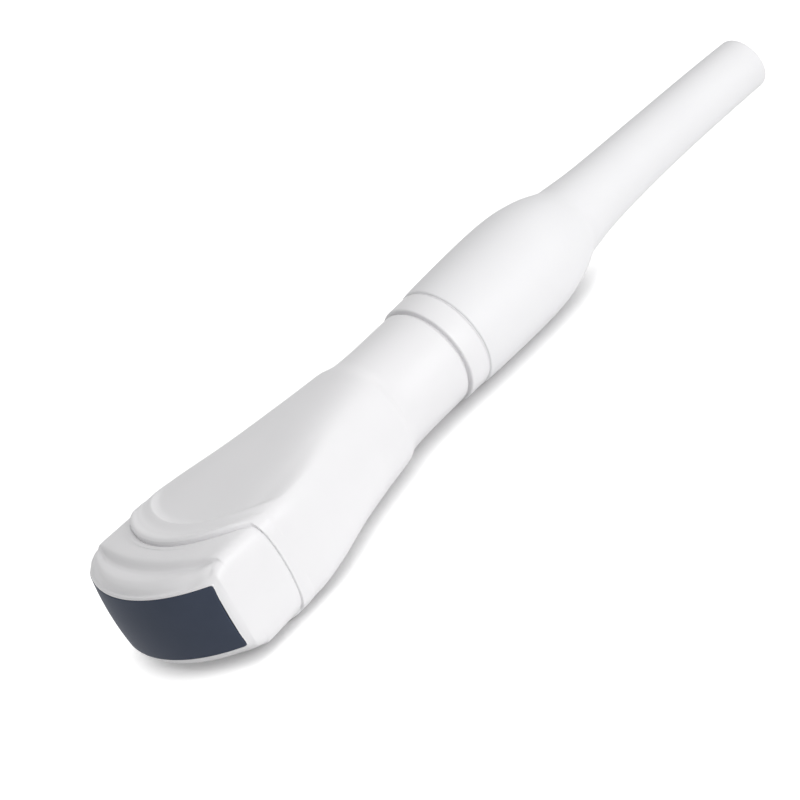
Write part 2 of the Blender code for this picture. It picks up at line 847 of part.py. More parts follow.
def add_o_ring(name, place):
    """A ring of round section, turned from a circle that runs over its outer side first."""
    radius = o_ring_thickness / 2
    turns = [math.pi * (1 - i / 4) for i in range(8)]
    profile = [(place + radius * math.cos(turn), o_ring_middle + radius * math.sin(turn)) for turn in turns]
    return turned(name, profile, black_rubber, inner_turned_steps)


add_coupling_sleeve()
add_o_ring("neck_o_ring", neck_o_ring_place)
add_o_ring("boot_o_ring", boot_o_ring_place)


# Trim ring: a separate band round the sleeve, a little prouder than the neck

def add_trim_ring():
    outside = ring_diameter / 2
    inside = sleeve_radius + seat_gap
    edge = ring_edge
    profile = [
        (ring_start, outside - edge), (ring_start + edge * 0.3, outside - edge * 0.3),
        (ring_start + edge, outside), (ring_end - edge, outside),
        (ring_end - edge * 0.3, outside - edge * 0.3), (ring_end, outside - edge),
        (ring_end, inside), (ring_start, inside),
    ]
    return turned("trim_ring", profile, white_shell)


add_trim_ring()


# Cable clamp: two halves drawn together on the cable by two screws, behind the sleeve

clamp_radius = sleeve_radius
clamp_bore = cable_bore_diameter / 2 + cable_clearance
clamp_screw_place = (clamp_bore + clamp_radius) / 2


def add_clamp_half(name, side):
    """Half a ring, drawn in the probe's cross section and extruded along the axis."""
    split = seat_gap
    start = math.asin(split / clamp_radius)
    outer = np.linspace(start, math.pi - start, 17)
    start = math.asin(split / clamp_bore)
    inner = np.linspace(math.pi - start, start, 11)
    outline = [(clamp_radius * math.cos(a), side * clamp_radius * math.sin(a)) for a in outer]
    outline += [(clamp_bore * math.cos(a), side * clamp_bore * math.sin(a)) for a in inner]
    half = flat_plate(name, outline, clamp_start, clamp_end, frame_plastic)
    half.location = ((clamp_start + clamp_end) / 2, 0.0, 0.0)
    half.rotation_euler = (math.pi / 2, 0.0, math.pi / 2)
    return half


def as_mesh(piece):
    """The same object as a mesh with its caps welded, so that it can be cut."""
    bpy.context.view_layer.update()
    graph = bpy.context.evaluated_depsgraph_get()
    mesh = bpy.data.meshes.new_from_object(piece.evaluated_get(graph))
    welded = bmesh.new()
    welded.from_mesh(mesh)
    bmesh.ops.remove_doubles(welded, verts=welded.verts, dist=1e-6)
    bmesh.ops.recalc_face_normals(welded, faces=welded.faces)
    welded.to_mesh(mesh)
    welded.free()
    name = piece.name
    location = piece.location.copy()
    rotation = piece.rotation_euler.copy()
    bpy.data.objects.remove(piece, do_unlink=True)
    mesh.name = name
    cut = bpy.data.objects.new(name, mesh)
    parts.objects.link(cut)
    cut.parent = probe
    cut.location = location
    cut.rotation_euler = rotation
    return cut


def add_cutter(name, radius, low, high, x, y):
    """A plain cylinder along Z, used only to cut a hole."""
    tool = bmesh.new()
    bmesh.ops.create_cone(
        tool, cap_ends=True, segments=12, radius1=radius, radius2=radius, depth=high - low,
    )
    mesh = bpy.data.meshes.new(name)
    tool.to_mesh(mesh)
    tool.free()
    cutter = bpy.data.objects.new(name, mesh)
    helpers.objects.link(cutter)
    cutter.parent = probe
    cutter.location = (x, y, (low + high) / 2)
    cutter.hide_render = True
    cutter.display_type = "WIRE"
    return cutter


clamp_middle = (clamp_start + clamp_end) / 2
clamp_halves = [
    as_mesh(add_clamp_half("cable_clamp_upper", 1)),
    as_mesh(add_clamp_half("cable_clamp_lower", -1)),
]
beyond = 2 * clamp_radius
for side_name, side in (("left", 1), ("right", -1)):
    place = side * clamp_screw_place
    hole_radius = screw_shank_radius + seat_gap
    pocket_radius = screw_head_radius + seat_gap
    shaft = add_cutter("screw_hole_" + side_name, hole_radius, -beyond, beyond, clamp_middle, place)
    pocket = add_cutter("screw_pocket_" + side_name, pocket_radius, screw_seat, beyond, clamp_middle, place)
    for half, tools in zip(clamp_halves, ((shaft, pocket), (shaft,))):
        for tool in tools:
            cut = half.modifiers.new(tool.name, "BOOLEAN")
            cut.operation = "DIFFERENCE"
            cut.object = tool
            cut.solver = "EXACT"
    upright_turned(
        "clamp_screw_" + side_name, screw_profile(screw_seat + seat_gap, screw_reach), clamp_middle, place, 1,
        steel, small_turned_steps,
    )


# Ferrule: the crimped ring that joins the cable's braid to the shield, in the boot's counterbore

def add_ferrule():
    inside = cable_bore_diameter / 2 + cable_clearance
    outside = inside + ferrule_wall
    end = ferrule_start + ferrule_length
    profile = [
        (ferrule_start, outside), (ferrule_start + 0.0010, outside + ferrule_bead),
        (ferrule_start + 0.0018, outside),
        (end, outside), (end, inside), (ferrule_start, inside),
    ]
    return turned("braid_ferrule", profile, brass, inner_turned_steps)


add_ferrule()


# Bend relief boot: a soft bulb over the clamp that runs out into a long tail round the cable

def boot_radius(place):
    """The boot's outline: a long bulb, a quick draw-in and a slow taper."""
    share = (place - boot_start) / bulb_length
    bulb = bulb_diameter / 2
    tail = boot_tail_diameter / 2
    end = boot_end_diameter / 2
    if share < 1.0:
        shares = (0.0, 0.12, 0.42, 0.70, 0.86, 1.0)
        values = (boot_front_diameter / 2, bulb - 0.0002, bulb, bulb - (bulb - tail) * 0.10,
                  bulb - (bulb - tail) * 0.37, bulb - (bulb - tail) * 0.80)
        return flowing(share, shares, values)
    left = (place - boot_start - bulb_length) / (boot_length - bulb_length)
    start = bulb - (bulb - tail) * 0.80
    return flowing(left, (0.0, 0.14, 0.40, 1.0), (start, tail, end + (tail - end) * 0.45, end))


def boot_sag(place):
    """How far the tail hangs below the probe's axis, by its own weight."""
    tail_start = boot_start + bulb_length
    return boot_droop * (max(place - tail_start, 0.0) / (boot_end - tail_start)) ** 2


def boot_ring(place, radius):
    turns = [2 * math.pi * i / turned_steps for i in range(turned_steps)]
    sag = boot_sag(place)
    return [(place, radius * math.cos(turn), radius * math.sin(turn) - sag) for turn in turns]


def add_boot():
    edge = ring_edge
    front = boot_front_diameter / 2
    profile = [(boot_start, front - edge), (boot_start + edge, front)]
    for share in (0.03, 0.08, 0.16, 0.28, 0.42, 0.55, 0.65, 0.74, 0.82, 0.90, 0.97):
        place = boot_start + bulb_length * share
        profile.append((place, boot_radius(place)))
    tail_start = boot_start + bulb_length
    for share in (0.0, 0.05, 0.10, 0.17, 0.28, 0.42, 0.60, 0.80):
        place = tail_start + (boot_length - bulb_length) * share
        profile.append((place, boot_radius(place)))
    end = boot_end_diameter / 2
    round_start = boot_end - boot_end_round
    for angle in (0.0, 30.0, 60.0, 90.0):
        a = math.radians(angle)
        profile.append((round_start + boot_end_round * math.sin(a), end - boot_end_round * (1 - math.cos(a))))
    bore = cable_bore_diameter / 2
    socket = sleeve_radius + seat_gap
    counterbore = bore + cable_clearance + ferrule_wall + ferrule_bead + seat_gap
    counter_end = ferrule_start + ferrule_length + seat_gap
    profile += [(boot_end, bore + 0.0003), (boot_end - 0.0003, bore)]
    profile += [(boot_end - (boot_end - tail_start) * share, bore) for share in (0.15, 0.32, 0.50, 0.72, 1.0)]
    profile += [
        (counter_end, bore), (counter_end, counterbore), (ferrule_start - seat_gap, counterbore),
        (clamp_end + seat_gap, socket), (boot_start, socket),
    ]
    rings = [boot_ring(place, radius) for place, radius in profile]
    return shell_of_rows("bend_relief_boot", rings, white_boot)


add_boot()


# The probe lies with its bulb on the surface, and the middle of its length over the origin

probe.location = (-boot_end / 2, 0.0, max(bulb_diameter, head_height + 2 * lip_height) / 2)
bpy.context.view_layer.update()
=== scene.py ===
"""Looks of a convex ultrasound probe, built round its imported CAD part.

Lengths are metres in the part's own frame: X runs from the lens to the cable end, Y across the width, Z up.
The probe's axis lies along X at the height of its trim ring.
"""

import math

import bmesh
import bpy
import numpy as np
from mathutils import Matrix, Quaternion, Vector


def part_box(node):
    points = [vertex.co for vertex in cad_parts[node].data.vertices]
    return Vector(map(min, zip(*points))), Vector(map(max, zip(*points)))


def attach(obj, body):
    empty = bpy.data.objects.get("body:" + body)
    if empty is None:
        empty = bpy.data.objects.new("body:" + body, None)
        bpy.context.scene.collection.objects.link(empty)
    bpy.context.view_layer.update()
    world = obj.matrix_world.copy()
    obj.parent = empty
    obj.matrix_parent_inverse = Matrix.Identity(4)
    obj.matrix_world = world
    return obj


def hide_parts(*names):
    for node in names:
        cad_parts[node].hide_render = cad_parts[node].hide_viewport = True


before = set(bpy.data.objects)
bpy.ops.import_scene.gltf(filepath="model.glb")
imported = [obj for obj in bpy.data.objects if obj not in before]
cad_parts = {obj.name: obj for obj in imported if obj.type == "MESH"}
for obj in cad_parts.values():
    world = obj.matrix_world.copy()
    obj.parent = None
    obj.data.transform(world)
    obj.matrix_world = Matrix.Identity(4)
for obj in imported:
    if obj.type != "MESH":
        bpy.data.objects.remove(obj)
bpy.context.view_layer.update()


# Camera: a long lens, as in a catalogue photo, which looks down on the probe from beyond its lens end and is
# turned about its own axis so that the probe runs up to the right

camera_sensor_width = 36.0
camera_focal_length = 202.5
camera_place = Vector((-0.5795, -0.8627, 0.4766))
camera_aim = Vector((-0.0256, 0.0, 0.0118))
camera_roll = math.radians(29.33)


def add_camera():
    data = bpy.data.cameras.new("camera")
    data.sensor_width = camera_sensor_width
    data.lens = camera_focal_length
    data.clip_start = 0.01
    data.clip_end = 20.0
    camera = bpy.data.objects.new("camera", data)
    bpy.context.scene.collection.objects.link(camera)
    camera.location = camera_place
    level_turn = (camera_aim - camera_place).to_track_quat("-Z", "Y")
    camera.rotation_mode = "QUATERNION"
    camera.rotation_quaternion = level_turn @ Quaternion((0.0, 0.0, 1.0), -camera_roll)
    bpy.context.scene.camera = camera


add_camera()


# Studio: a white sheet under the probe, a wide low soft box along its near side, one high behind the cable
# end and one above. The sheet and the sky look white to the camera, and light the probe at a plain level

lamp_aim = Vector((0.0, 0.0, 0.015))
# Soft boxes: name, place, width, height, power
soft_boxes = (
    ("side_soft_box", (0.10, -1.0, 0.30), 0.9, 0.6, 6.6),
    ("back_soft_box", (1.0, -0.1, 0.7), 0.8, 0.6, 1.6),
    ("top_soft_box", (-0.25, -0.15, 1.08), 1.0, 1.0, 3.4),
)
sky_strength = 0.34
floor_side = 8.0
floor_grey = 0.90
floor_glow = 0.66
# Painted shadow on the floor: how far from the probe the glow fades, how steeply, and with how many samples
painted_shadow_reach = 0.006
painted_shadow_power = 1.1
painted_shadow_samples = 6


def new_material(name):
    """A node material with a bare Principled shader, and its tree."""
    material = bpy.data.materials.new(name)
    material.use_nodes = True
    tree = material.node_tree
    return material, tree, tree.nodes["Principled BSDF"]


def arithmetic(tree, operation, first, second):
    """A Math node of two values, each a socket or a plain number."""
    node = tree.nodes.new("ShaderNodeMath")
    node.operation = operation
    for place, value in enumerate((first, second)):
        if isinstance(value, (int, float)):
            node.inputs[place].default_value = value
        else:
            tree.links.new(value, node.inputs[place])
    return node.outputs["Value"]


def white_sight(tree):
    """1 for the camera, for mirror-like rays and for rays through something clear, and 0 for other light."""
    seen = tree.nodes.new("ShaderNodeLightPath")
    either = seen.outputs["Is Camera Ray"]
    for kind in ("Is Glossy Ray", "Is Transmission Ray"):
        either = arithmetic(tree, "MAXIMUM", either, seen.outputs[kind])
    return either


def add_floor():
    """Diffuse white with a glow for the camera, which fades close to the probe and so paints a shadow there.
    """
    mesh = bpy.data.meshes.new("studio_floor")
    half = floor_side / 2
    corners = [(-half, -half, 0.0), (half, -half, 0.0), (half, half, 0.0), (-half, half, 0.0)]
    mesh.from_pydata(corners, [], [(0, 1, 2, 3)])
    material, tree, shader = new_material("studio_sheet")
    tree.nodes.remove(shader)
    paper = tree.nodes.new("ShaderNodeBsdfDiffuse")
    paper.inputs["Color"].default_value = (floor_grey, floor_grey, floor_grey, 1.0)
    glow = tree.nodes.new("ShaderNodeEmission")
    glow.inputs["Color"].default_value = (1.0, 1.0, 1.0, 1.0)
    # Ambient occlusion dims the glow near the probe: a painted contact shadow over the lamps' own
    openness = tree.nodes.new("ShaderNodeAmbientOcclusion")
    openness.samples = painted_shadow_samples
    openness.inputs["Distance"].default_value = painted_shadow_reach
    away_from_probe = arithmetic(tree, "POWER", openness.outputs["AO"], painted_shadow_power)
    amount = arithmetic(tree, "MULTIPLY", away_from_probe, floor_glow)
    tree.links.new(arithmetic(tree, "MULTIPLY", amount, white_sight(tree)), glow.inputs["Strength"])
    both = tree.nodes.new("ShaderNodeAddShader")
    tree.links.new(paper.outputs["BSDF"], both.inputs[0])
    tree.links.new(glow.outputs["Emission"], both.inputs[1])
    tree.links.new(both.outputs["Shader"], tree.nodes["Material Output"].inputs["Surface"])
    mesh.materials.append(material)
    floor = bpy.data.objects.new("studio_floor", mesh)
    bpy.context.scene.collection.objects.link(floor)


def add_soft_box(name, place, width, height, power):
    data = bpy.data.lights.new(name, "AREA")
    data.shape = "RECTANGLE"
    data.size = width
    data.size_y = height
    data.energy = power
    lamp = bpy.data.objects.new(name, data)
    bpy.context.scene.collection.objects.link(lamp)
    lamp.location = place
    lamp.rotation_mode = "QUATERNION"
    lamp.rotation_quaternion = (lamp_aim - Vector(place)).to_track_quat("-Z", "Y")


def add_sky():
    """Even light from all round, which the camera and mirror-like rays see as white."""
    world = bpy.data.worlds.new("studio_sky")
    bpy.context.scene.world = world
    world.use_nodes = True
    tree = world.node_tree
    light = tree.nodes["Background"]
    light.inputs["Color"].default_value = (1.0, 1.0, 1.0, 1.0)
    light.inputs["Strength"].default_value = sky_strength
    white = tree.nodes.new("ShaderNodeBackground")
    white.inputs["Color"].default_value = (1.0, 1.0, 1.0, 1.0)
    white.inputs["Strength"].default_value = 1.0
    mix = tree.nodes.new("ShaderNodeMixShader")
    tree.links.new(white_sight(tree), mix.inputs["Fac"])
    tree.links.new(light.outputs["Background"], mix.inputs[1])
    tree.links.new(white.outputs["Background"], mix.inputs[2])
    tree.links.new(mix.outputs["Shader"], tree.nodes["World Output"].inputs["Surface"])


add_floor()
add_sky()
for soft_box in soft_boxes:
    add_soft_box(*soft_box)
bpy.context.scene.view_settings.view_transform = "Standard"


# Nosepiece: one satin white moulding round the lens. On its wide faces a convex lobe, a coved step and a
# terrace climb like the edge of a shell towards the bowed seam. It is glued into the grip by a spigot

nose_low, nose_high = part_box("nosepiece")
lens_low, lens_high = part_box("acoustic_lens")
grip_low, grip_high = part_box("grip_housing")
ring_low, ring_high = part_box("trim_ring")
axis_height = (ring_low.z + ring_high.z) / 2
probe_front = lens_low.x

seat_gap = 0.0003
seam_groove = 0.0002
groove_floor_reach = 0.00015
lens_radius = 0.0400
lens_half_width = (lens_high.y - lens_low.y) / 2
lens_half_height = (lens_high.z - lens_low.z) / 2
lens_crown = 0.0006
lens_thickness = 0.0014
lens_squareness = 70.0
nose_half_width = (nose_high.y - nose_low.y) / 2
nose_half_height = (nose_high.z - nose_low.z) / 2
head_half_width = (grip_high.y - grip_low.y) / 2
lip_height = 0.0004
head_half_height = (grip_high.z - grip_low.z) / 2 - lip_height
head_squareness = 6.6
seam_edge_inset = 0.00015
seam_edge_drop = 0.00025
seam_drop = 0.0003
seam_round = 0.0003
seam_round_drop = 0.0002
seam_softening = 0.0001
spigot_length = 0.0042
seam_side = nose_high.x - probe_front - spigot_length
seam_bow = 0.0117
seam_belly = 0.0013
belly_start = 0.80
belly_spread = 0.18
belly_rounding = 1.3
bow_share = 0.91
fade_start = 0.72
fade_end = 0.97
shell_wall = 0.0020
spigot_half_width = nose_half_width - shell_wall
spigot_half_height = nose_half_height - shell_wall
spigot_wall = 0.0015
spigot_end = seam_side + spigot_length
window_half_width = lens_half_width + seat_gap
window_half_height = lens_half_height + seat_gap
window_rim_depth = 0.00010
ledge_width = 0.0016
ledge_thickness = 0.0017
ledge_depth = lens_thickness + seat_gap
throat_half_width = window_half_width - ledge_width
throat_half_height = window_half_height - ledge_width
throat_depth = ledge_depth + ledge_thickness
throat_taper_length = 0.0040
throat_rear_half_height = 0.0102
crease_angle = math.radians(32)
fine_steps = 721
quarter_steps = 56
turn_weight = 0.6
row_spacing = 0.00035

# Heights on the wide faces are shares of the way from the window's edge up to the nosepiece's.
# Rows over the front: depth behind the lens's face, inset of the sides, share at the corners, squareness,
# share in the middle
nose_front_rows = (
    (0.0002, 0.0010, 0.11, 14.0, 0.10),
    (0.0006, 0.0004, 0.30, 11.0, 0.13),
)
# Rows over the lobe, the step and the terrace: place in the middle, bow, share at the corners, squareness,
# share in the middle
nose_terrace_rows = (
    (0.0020, 0.0092, 0.60, 9.5, 0.38),
    (0.0030, 0.0090, 0.71, 9.0, 0.53),
    (0.0045, 0.0083, 0.780, 9.0, 0.600),
    (0.0060, 0.0074, 0.810, 9.0, 0.580),
    (0.0074, 0.0064, 0.830, 9.0, 0.530),
    (0.0083, 0.0058, 0.855, 8.8, 0.545),
    (0.0090, 0.0053, 0.890, 8.6, 0.640),
    (0.0096, 0.0049, 0.935, 8.5, 0.770),
    (0.0102, 0.0046, 0.970, 8.4, 0.850),
    (0.0110, 0.0045, 0.990, 8.3, 0.885),
    (0.0140, 0.0067, 1.000, 7.5, 0.910),
    (seam_side - seam_bow - 0.0012, seam_bow, 1.000, 6.8, 0.945),
)


def smooth_rise(share):
    """0 to 1 with level ends, for shares that run from 0 to 1."""
    share = np.clip(share, 0.0, 1.0)
    return share * share * (3 - 2 * share)


def section_quarter(half_width, half_height, squareness):
    """Points of a quarter of a rounded oblong, closer together where its edge turns faster."""
    fine = np.linspace(0.0, math.pi / 2, fine_steps)
    reach = (np.cos(fine) ** squareness + np.sin(fine) ** squareness) ** (-1 / squareness)
    across = half_width * reach * np.cos(fine)
    up = half_height * reach * np.sin(fine)
    length = np.hypot(np.diff(across), np.diff(up))
    heading = np.unwrap(np.arctan2(np.diff(up), np.diff(across)))
    turn = np.abs(np.diff(heading, prepend=heading[0]))
    way = np.concatenate([[0.0], np.cumsum(length / length.sum() + turn_weight * turn / turn.sum())])
    shares = np.linspace(0.0, way[-1], quarter_steps + 1)
    across = np.interp(shares, way, across)
    up = np.interp(shares, way, up)
    across[-1] = 0.0
    up[0] = 0.0
    return across, up


def section(half_width, half_height, squareness):
    """Points (y, z) once round a rounded oblong, from +Y by way of +Z."""
    across, up = section_quarter(half_width, half_height, squareness)
    across = np.concatenate([across, -across[-2::-1]])
    up = np.concatenate([up, up[-2::-1]])
    return np.concatenate([across, across[-2:0:-1]]), np.concatenate([up, -up[-2:0:-1]])


def bowed(side, bow, half_width):
    """The x of a line across the probe that bows forward on a circle and is straight at its ends."""
    reach = half_width * bow_share
    radius = (reach ** 2 + bow ** 2) / (2 * max(bow, 1e-6))
    return lambda y, z: side - bow + radius - np.sqrt(radius ** 2 - np.minimum(np.abs(y), reach) ** 2)


def lens_face(depth):
    """The x of the lens's outer face, or of a face that lies behind it by depth."""
    def place(y, z):
        fall = lens_crown * (z / lens_half_height) ** 2
        return lens_radius - np.sqrt((lens_radius - depth) ** 2 - y ** 2) + fall
    return place


def level(place):
    return lambda y, z: np.full_like(y, place)


def row(x_rule, half_width, half_height, squareness, drop=0.0):
    """One ring of points round a shell. Drop lowers its wide faces, a negative drop raises them, and it fades
    out towards the corners.
    """
    y, z = section(half_width, half_height, squareness)
    fade = 1 - smooth_rise((np.abs(y) / half_width - fade_start) / (fade_end - fade_start))
    sunk = z - np.sign(z) * drop * fade
    return np.stack([x_rule(y, z), y, sunk], axis=1)


def rows_between(rows, spacing):
    """A fine run of rows on smooth curves through the given ones, which never swing past them."""
    rows = np.array(rows)
    gaps = np.linalg.norm(np.diff(rows, axis=0), axis=2).max(axis=1)
    rises = np.diff(rows, axis=0) / gaps[:, None, None]
    slopes = np.concatenate([rises[:1], rises[1:], rises[-1:]])
    for i in range(1, len(rises)):
        before, after = rises[i - 1], rises[i]
        near, far = gaps[i - 1] + 2 * gaps[i], 2 * gaps[i - 1] + gaps[i]
        same_way = before * after > 0
        mean = (near + far) / (near / np.where(same_way, before, 1.0) + far / np.where(same_way, after, 1.0))
        slopes[i] = np.where(same_way, mean, 0.0)
    fine = [rows[0]]
    for i, gap in enumerate(gaps):
        count = max(1, math.ceil(gap / spacing))
        for t in np.linspace(0.0, 1.0, count + 1)[1:]:
            start = rows[i] * (1 + 2 * t) * (1 - t) ** 2 + slopes[i] * gap * t * (1 - t) ** 2
            end = rows[i + 1] * t * t * (3 - 2 * t) - slopes[i + 1] * gap * t * t * (1 - t)
            fine.append(start + end)
    return fine


def new_piece(name, mesh, material):
    """A piece whose object sits at the origin, with its place in its mesh."""
    if material.name not in mesh.materials:
        mesh.materials.append(material)
    piece = bpy.data.objects.new(name, mesh)
    bpy.context.scene.collection.objects.link(piece)
    return piece


def outward_and_smooth(mesh, within=None):
    """Merges doubles where asked to, turns the faces outwards and smooths them up to sharp edges."""
    shell = bmesh.new()
    shell.from_mesh(mesh)
    if within is not None:
        bmesh.ops.remove_doubles(shell, verts=shell.verts, dist=within)
    bmesh.ops.recalc_face_normals(shell, faces=shell.faces)
    shell.to_mesh(mesh)
    shell.free()
    mesh.shade_smooth()
    mesh.set_sharp_from_angle(angle=crease_angle)


def shell_mesh(name, rows):
    """A closed wall through rows of points in turn, whose last row joins the first, moved to its place."""
    rows = np.array(rows) + np.array((probe_front, 0.0, axis_height))
    turns, around = rows.shape[:2]
    index = np.arange(turns * around).reshape(turns, around)
    after = np.roll(index, -1, axis=1)
    below = np.roll(index, -1, axis=0)
    below_after = np.roll(below, -1, axis=1)
    faces = np.stack([index, after, below_after, below], axis=2).reshape(-1, 4)
    mesh = bpy.data.meshes.new(name)
    mesh.from_pydata(rows.reshape(-1, 3).tolist(), [], faces.tolist())
    outward_and_smooth(mesh)
    return mesh


def add_node(tree, kind, **inputs):
    node = tree.nodes.new(kind)
    for name, value in inputs.items():
        node.inputs[name.replace("_", " ").title()].default_value = value
    return node


def noise(tree, scale, detail=3.0, stretch=(1.0, 1.0, 1.0)):
    """Noise over the piece's own coordinates, drawn out where the stretch is small."""
    place = tree.nodes.new("ShaderNodeTexCoord")
    drawn = add_node(tree, "ShaderNodeMapping", scale=stretch)
    tree.links.new(place.outputs["Object"], drawn.inputs["Vector"])
    texture = add_node(tree, "ShaderNodeTexNoise", scale=scale, detail=detail, roughness=0.55)
    tree.links.new(drawn.outputs["Vector"], texture.inputs["Vector"])
    return texture.outputs["Fac"]


def paint(tree, shader, amount, shade, tone, low=0.35, high=0.65):
    """Colours the shader from the shade to the tone as the amount goes from low to high."""
    tones = tree.nodes.new("ShaderNodeValToRGB")
    tones.color_ramp.elements[0].position = low
    tones.color_ramp.elements[0].color = (*shade, 1.0)
    tones.color_ramp.elements[1].position = high
    tones.color_ramp.elements[1].color = (*tone, 1.0)
    tree.links.new(amount, tones.inputs["Fac"])
    tree.links.new(tones.outputs["Color"], shader.inputs["Base Color"])


def polish(tree, shader, amount, low, high):
    """Roughness from low to high as the amount goes from 0 to 1."""
    gloss = tree.nodes.new("ShaderNodeMapRange")
    gloss.inputs["To Min"].default_value = low
    gloss.inputs["To Max"].default_value = high
    tree.links.new(amount, gloss.inputs["Value"])
    tree.links.new(gloss.outputs["Result"], shader.inputs["Roughness"])


def emboss(tree, shader, amount, depth, strength=0.35):
    """Fine relief, as deep as the depth in metres."""
    bump = add_node(tree, "ShaderNodeBump", strength=strength, distance=depth)
    tree.links.new(amount, bump.inputs["Height"])
    tree.links.new(bump.outputs["Normal"], shader.inputs["Normal"])


def moulded_plastic(name, tone, shade, roughness, grain_scale, grain_depth, cloud_scale, spread=0.03):
    """Plastic with hardly visible clouds in its tone and gloss, and the fine grain of an etched mould."""
    material, tree, shader = new_material(name)
    clouds = noise(tree, cloud_scale, 4.0)
    paint(tree, shader, clouds, shade, tone)
    polish(tree, shader, clouds, roughness - spread, roughness + spread)
    emboss(tree, shader, noise(tree, grain_scale, 2.0), grain_depth)
    return material


shell_plastic = moulded_plastic(
    "satin_white_shell", (0.812, 0.806, 0.818), (0.796, 0.791, 0.803),
    roughness=0.40, grain_scale=2600.0, grain_depth=0.00002, cloud_scale=38.0,
)


def seam_line(behind):
    """The x of the seam, which bellies backwards on the narrow faces, or of a line that lies behind it."""
    across = bowed(seam_side + behind, seam_bow, nose_half_width)

    def place(y, z):
        side = smooth_rise((np.abs(y) / nose_half_width - belly_start) / belly_spread)
        return across(y, z) + side * seam_belly * (1 - belly_rounding * (z / nose_half_height) ** 2)
    return place


def add_nosepiece():
    width = nose_half_width
    height = nose_half_height
    edge_width = width - seam_edge_inset
    edge_height = height - seam_edge_drop
    skin = [row(lens_face(window_rim_depth), window_half_width, window_half_height, lens_squareness)]
    rise = height - window_half_height
    for depth, inset, corner, squareness, middle in nose_front_rows:
        top = window_half_height + rise * corner
        skin.append(row(lens_face(depth), width - inset, top, squareness, rise * (corner - middle)))
    for place, bow, corner, squareness, middle in nose_terrace_rows:
        top = window_half_height + rise * corner
        skin.append(row(bowed(place + bow, bow, width), width, top, squareness, rise * (corner - middle)))
    round_width = width - seam_softening
    round_height = height - seam_softening
    skin.append(row(seam_line(-seam_round), round_width, round_height, head_squareness, seam_round_drop))
    skin.append(row(seam_line(0.0), edge_width, edge_height, head_squareness, seam_drop))
    floor_width = edge_width - seam_softening
    floor_height = edge_height - seam_softening
    spigot_height = spigot_half_height - spigot_wall
    inside = [
        row(seam_line(groove_floor_reach), floor_width, floor_height, head_squareness, seam_drop),
        row(seam_line(groove_floor_reach), spigot_half_width, spigot_half_height, head_squareness),
        row(level(spigot_end), spigot_half_width, spigot_half_height, head_squareness),
        row(level(spigot_end), spigot_half_width - spigot_wall, spigot_height, head_squareness),
        row(lens_face(throat_depth + throat_taper_length), throat_half_width, throat_rear_half_height, 8.0),
        row(lens_face(throat_depth), throat_half_width, throat_half_height, 12.0),
        row(lens_face(ledge_depth), throat_half_width, throat_half_height, 14.0),
        row(lens_face(ledge_depth), window_half_width, window_half_height, lens_squareness),
    ]
    mesh = shell_mesh("white_nosepiece", rows_between(skin, row_spacing) + inside)
    piece = new_piece("white_nosepiece", mesh, shell_plastic)
    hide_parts("nosepiece")
    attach(piece, "root")


add_nosepiece()


# Acoustic lens: a sheet of dark blue-grey silicone, cast onto the array in the nosepiece's window and ground
# to the array's radius, with a slight crown across its thickness

lens_columns = 120
lens_lines = 44
bond_reach = 0.00024
lens_edge_round = 0.00018
lens_edge_angle = math.radians(50)


def silicone_material():
    material, tree, shader = new_material("lens_silicone")
    shader.inputs["IOR"].default_value = 1.30
    shader.inputs["Specular IOR Level"].default_value = 0.30
    clouds = noise(tree, 70.0)
    paint(tree, shader, clouds, (0.046, 0.057, 0.085), (0.054, 0.066, 0.097), 0.30, 0.70)
    polish(tree, shader, clouds, 0.52, 0.60)
    emboss(tree, shader, noise(tree, 1800.0, 2.0), 0.00002, 0.3)
    return material


def add_lens():
    sheet = bmesh.new()
    bmesh.ops.create_grid(sheet, x_segments=lens_columns, y_segments=lens_lines, size=1.0)
    face = lens_face(0.0)
    for vertex in sheet.verts:
        across, up = abs(vertex.co.x), abs(vertex.co.y)
        far = max(across, up, 1e-9)
        corner = far / (across ** lens_squareness + up ** lens_squareness + 1e-30) ** (1 / lens_squareness)
        y = vertex.co.x * corner * (lens_half_width + bond_reach)
        z = vertex.co.y * corner * (lens_half_height + bond_reach)
        vertex.co = (probe_front + float(face(y, z)), y, axis_height + z)
    mesh = bpy.data.meshes.new("silicone_lens")
    sheet.to_mesh(mesh)
    sheet.free()
    mesh.flip_normals()
    piece = new_piece("silicone_lens", mesh, silicone_material())
    wall = piece.modifiers.new("thickness", "SOLIDIFY")
    wall.thickness = lens_thickness
    wall.offset = -1.0
    rounded = piece.modifiers.new("rounded_edge", "BEVEL")
    rounded.width = lens_edge_round
    rounded.segments = 2
    rounded.limit_method = "ANGLE"
    rounded.angle_limit = lens_edge_angle
    mesh.shade_smooth()
    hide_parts("acoustic_lens")
    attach(piece, "root")


add_lens()


# Matching layers: two thin sheets of filled resin, cast one behind the other on the array and ground to their
# thickness. They ease the sound from the ceramic into the lens


def dress(material, *names):
    """Gives CAD nodes a finish, in the material slots that they have."""
    for name in names:
        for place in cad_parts[name].material_slots:
            place.material = material


def worked_finish(name, tone, shade, roughness, spread, scale, stretch, depth, metallic=0.0):
    """A surface whose marks run one way, as grinding, brushing, rolling or turning leaves them."""
    material, tree, shader = new_material(name)
    shader.inputs["Metallic"].default_value = metallic
    marks = noise(tree, scale, 3.0, stretch)
    paint(tree, shader, noise(tree, 90.0, 4.0), shade, tone, 0.30, 0.70)
    polish(tree, shader, marks, roughness - spread, roughness + spread)
    emboss(tree, shader, marks, depth, 0.4)
    return material


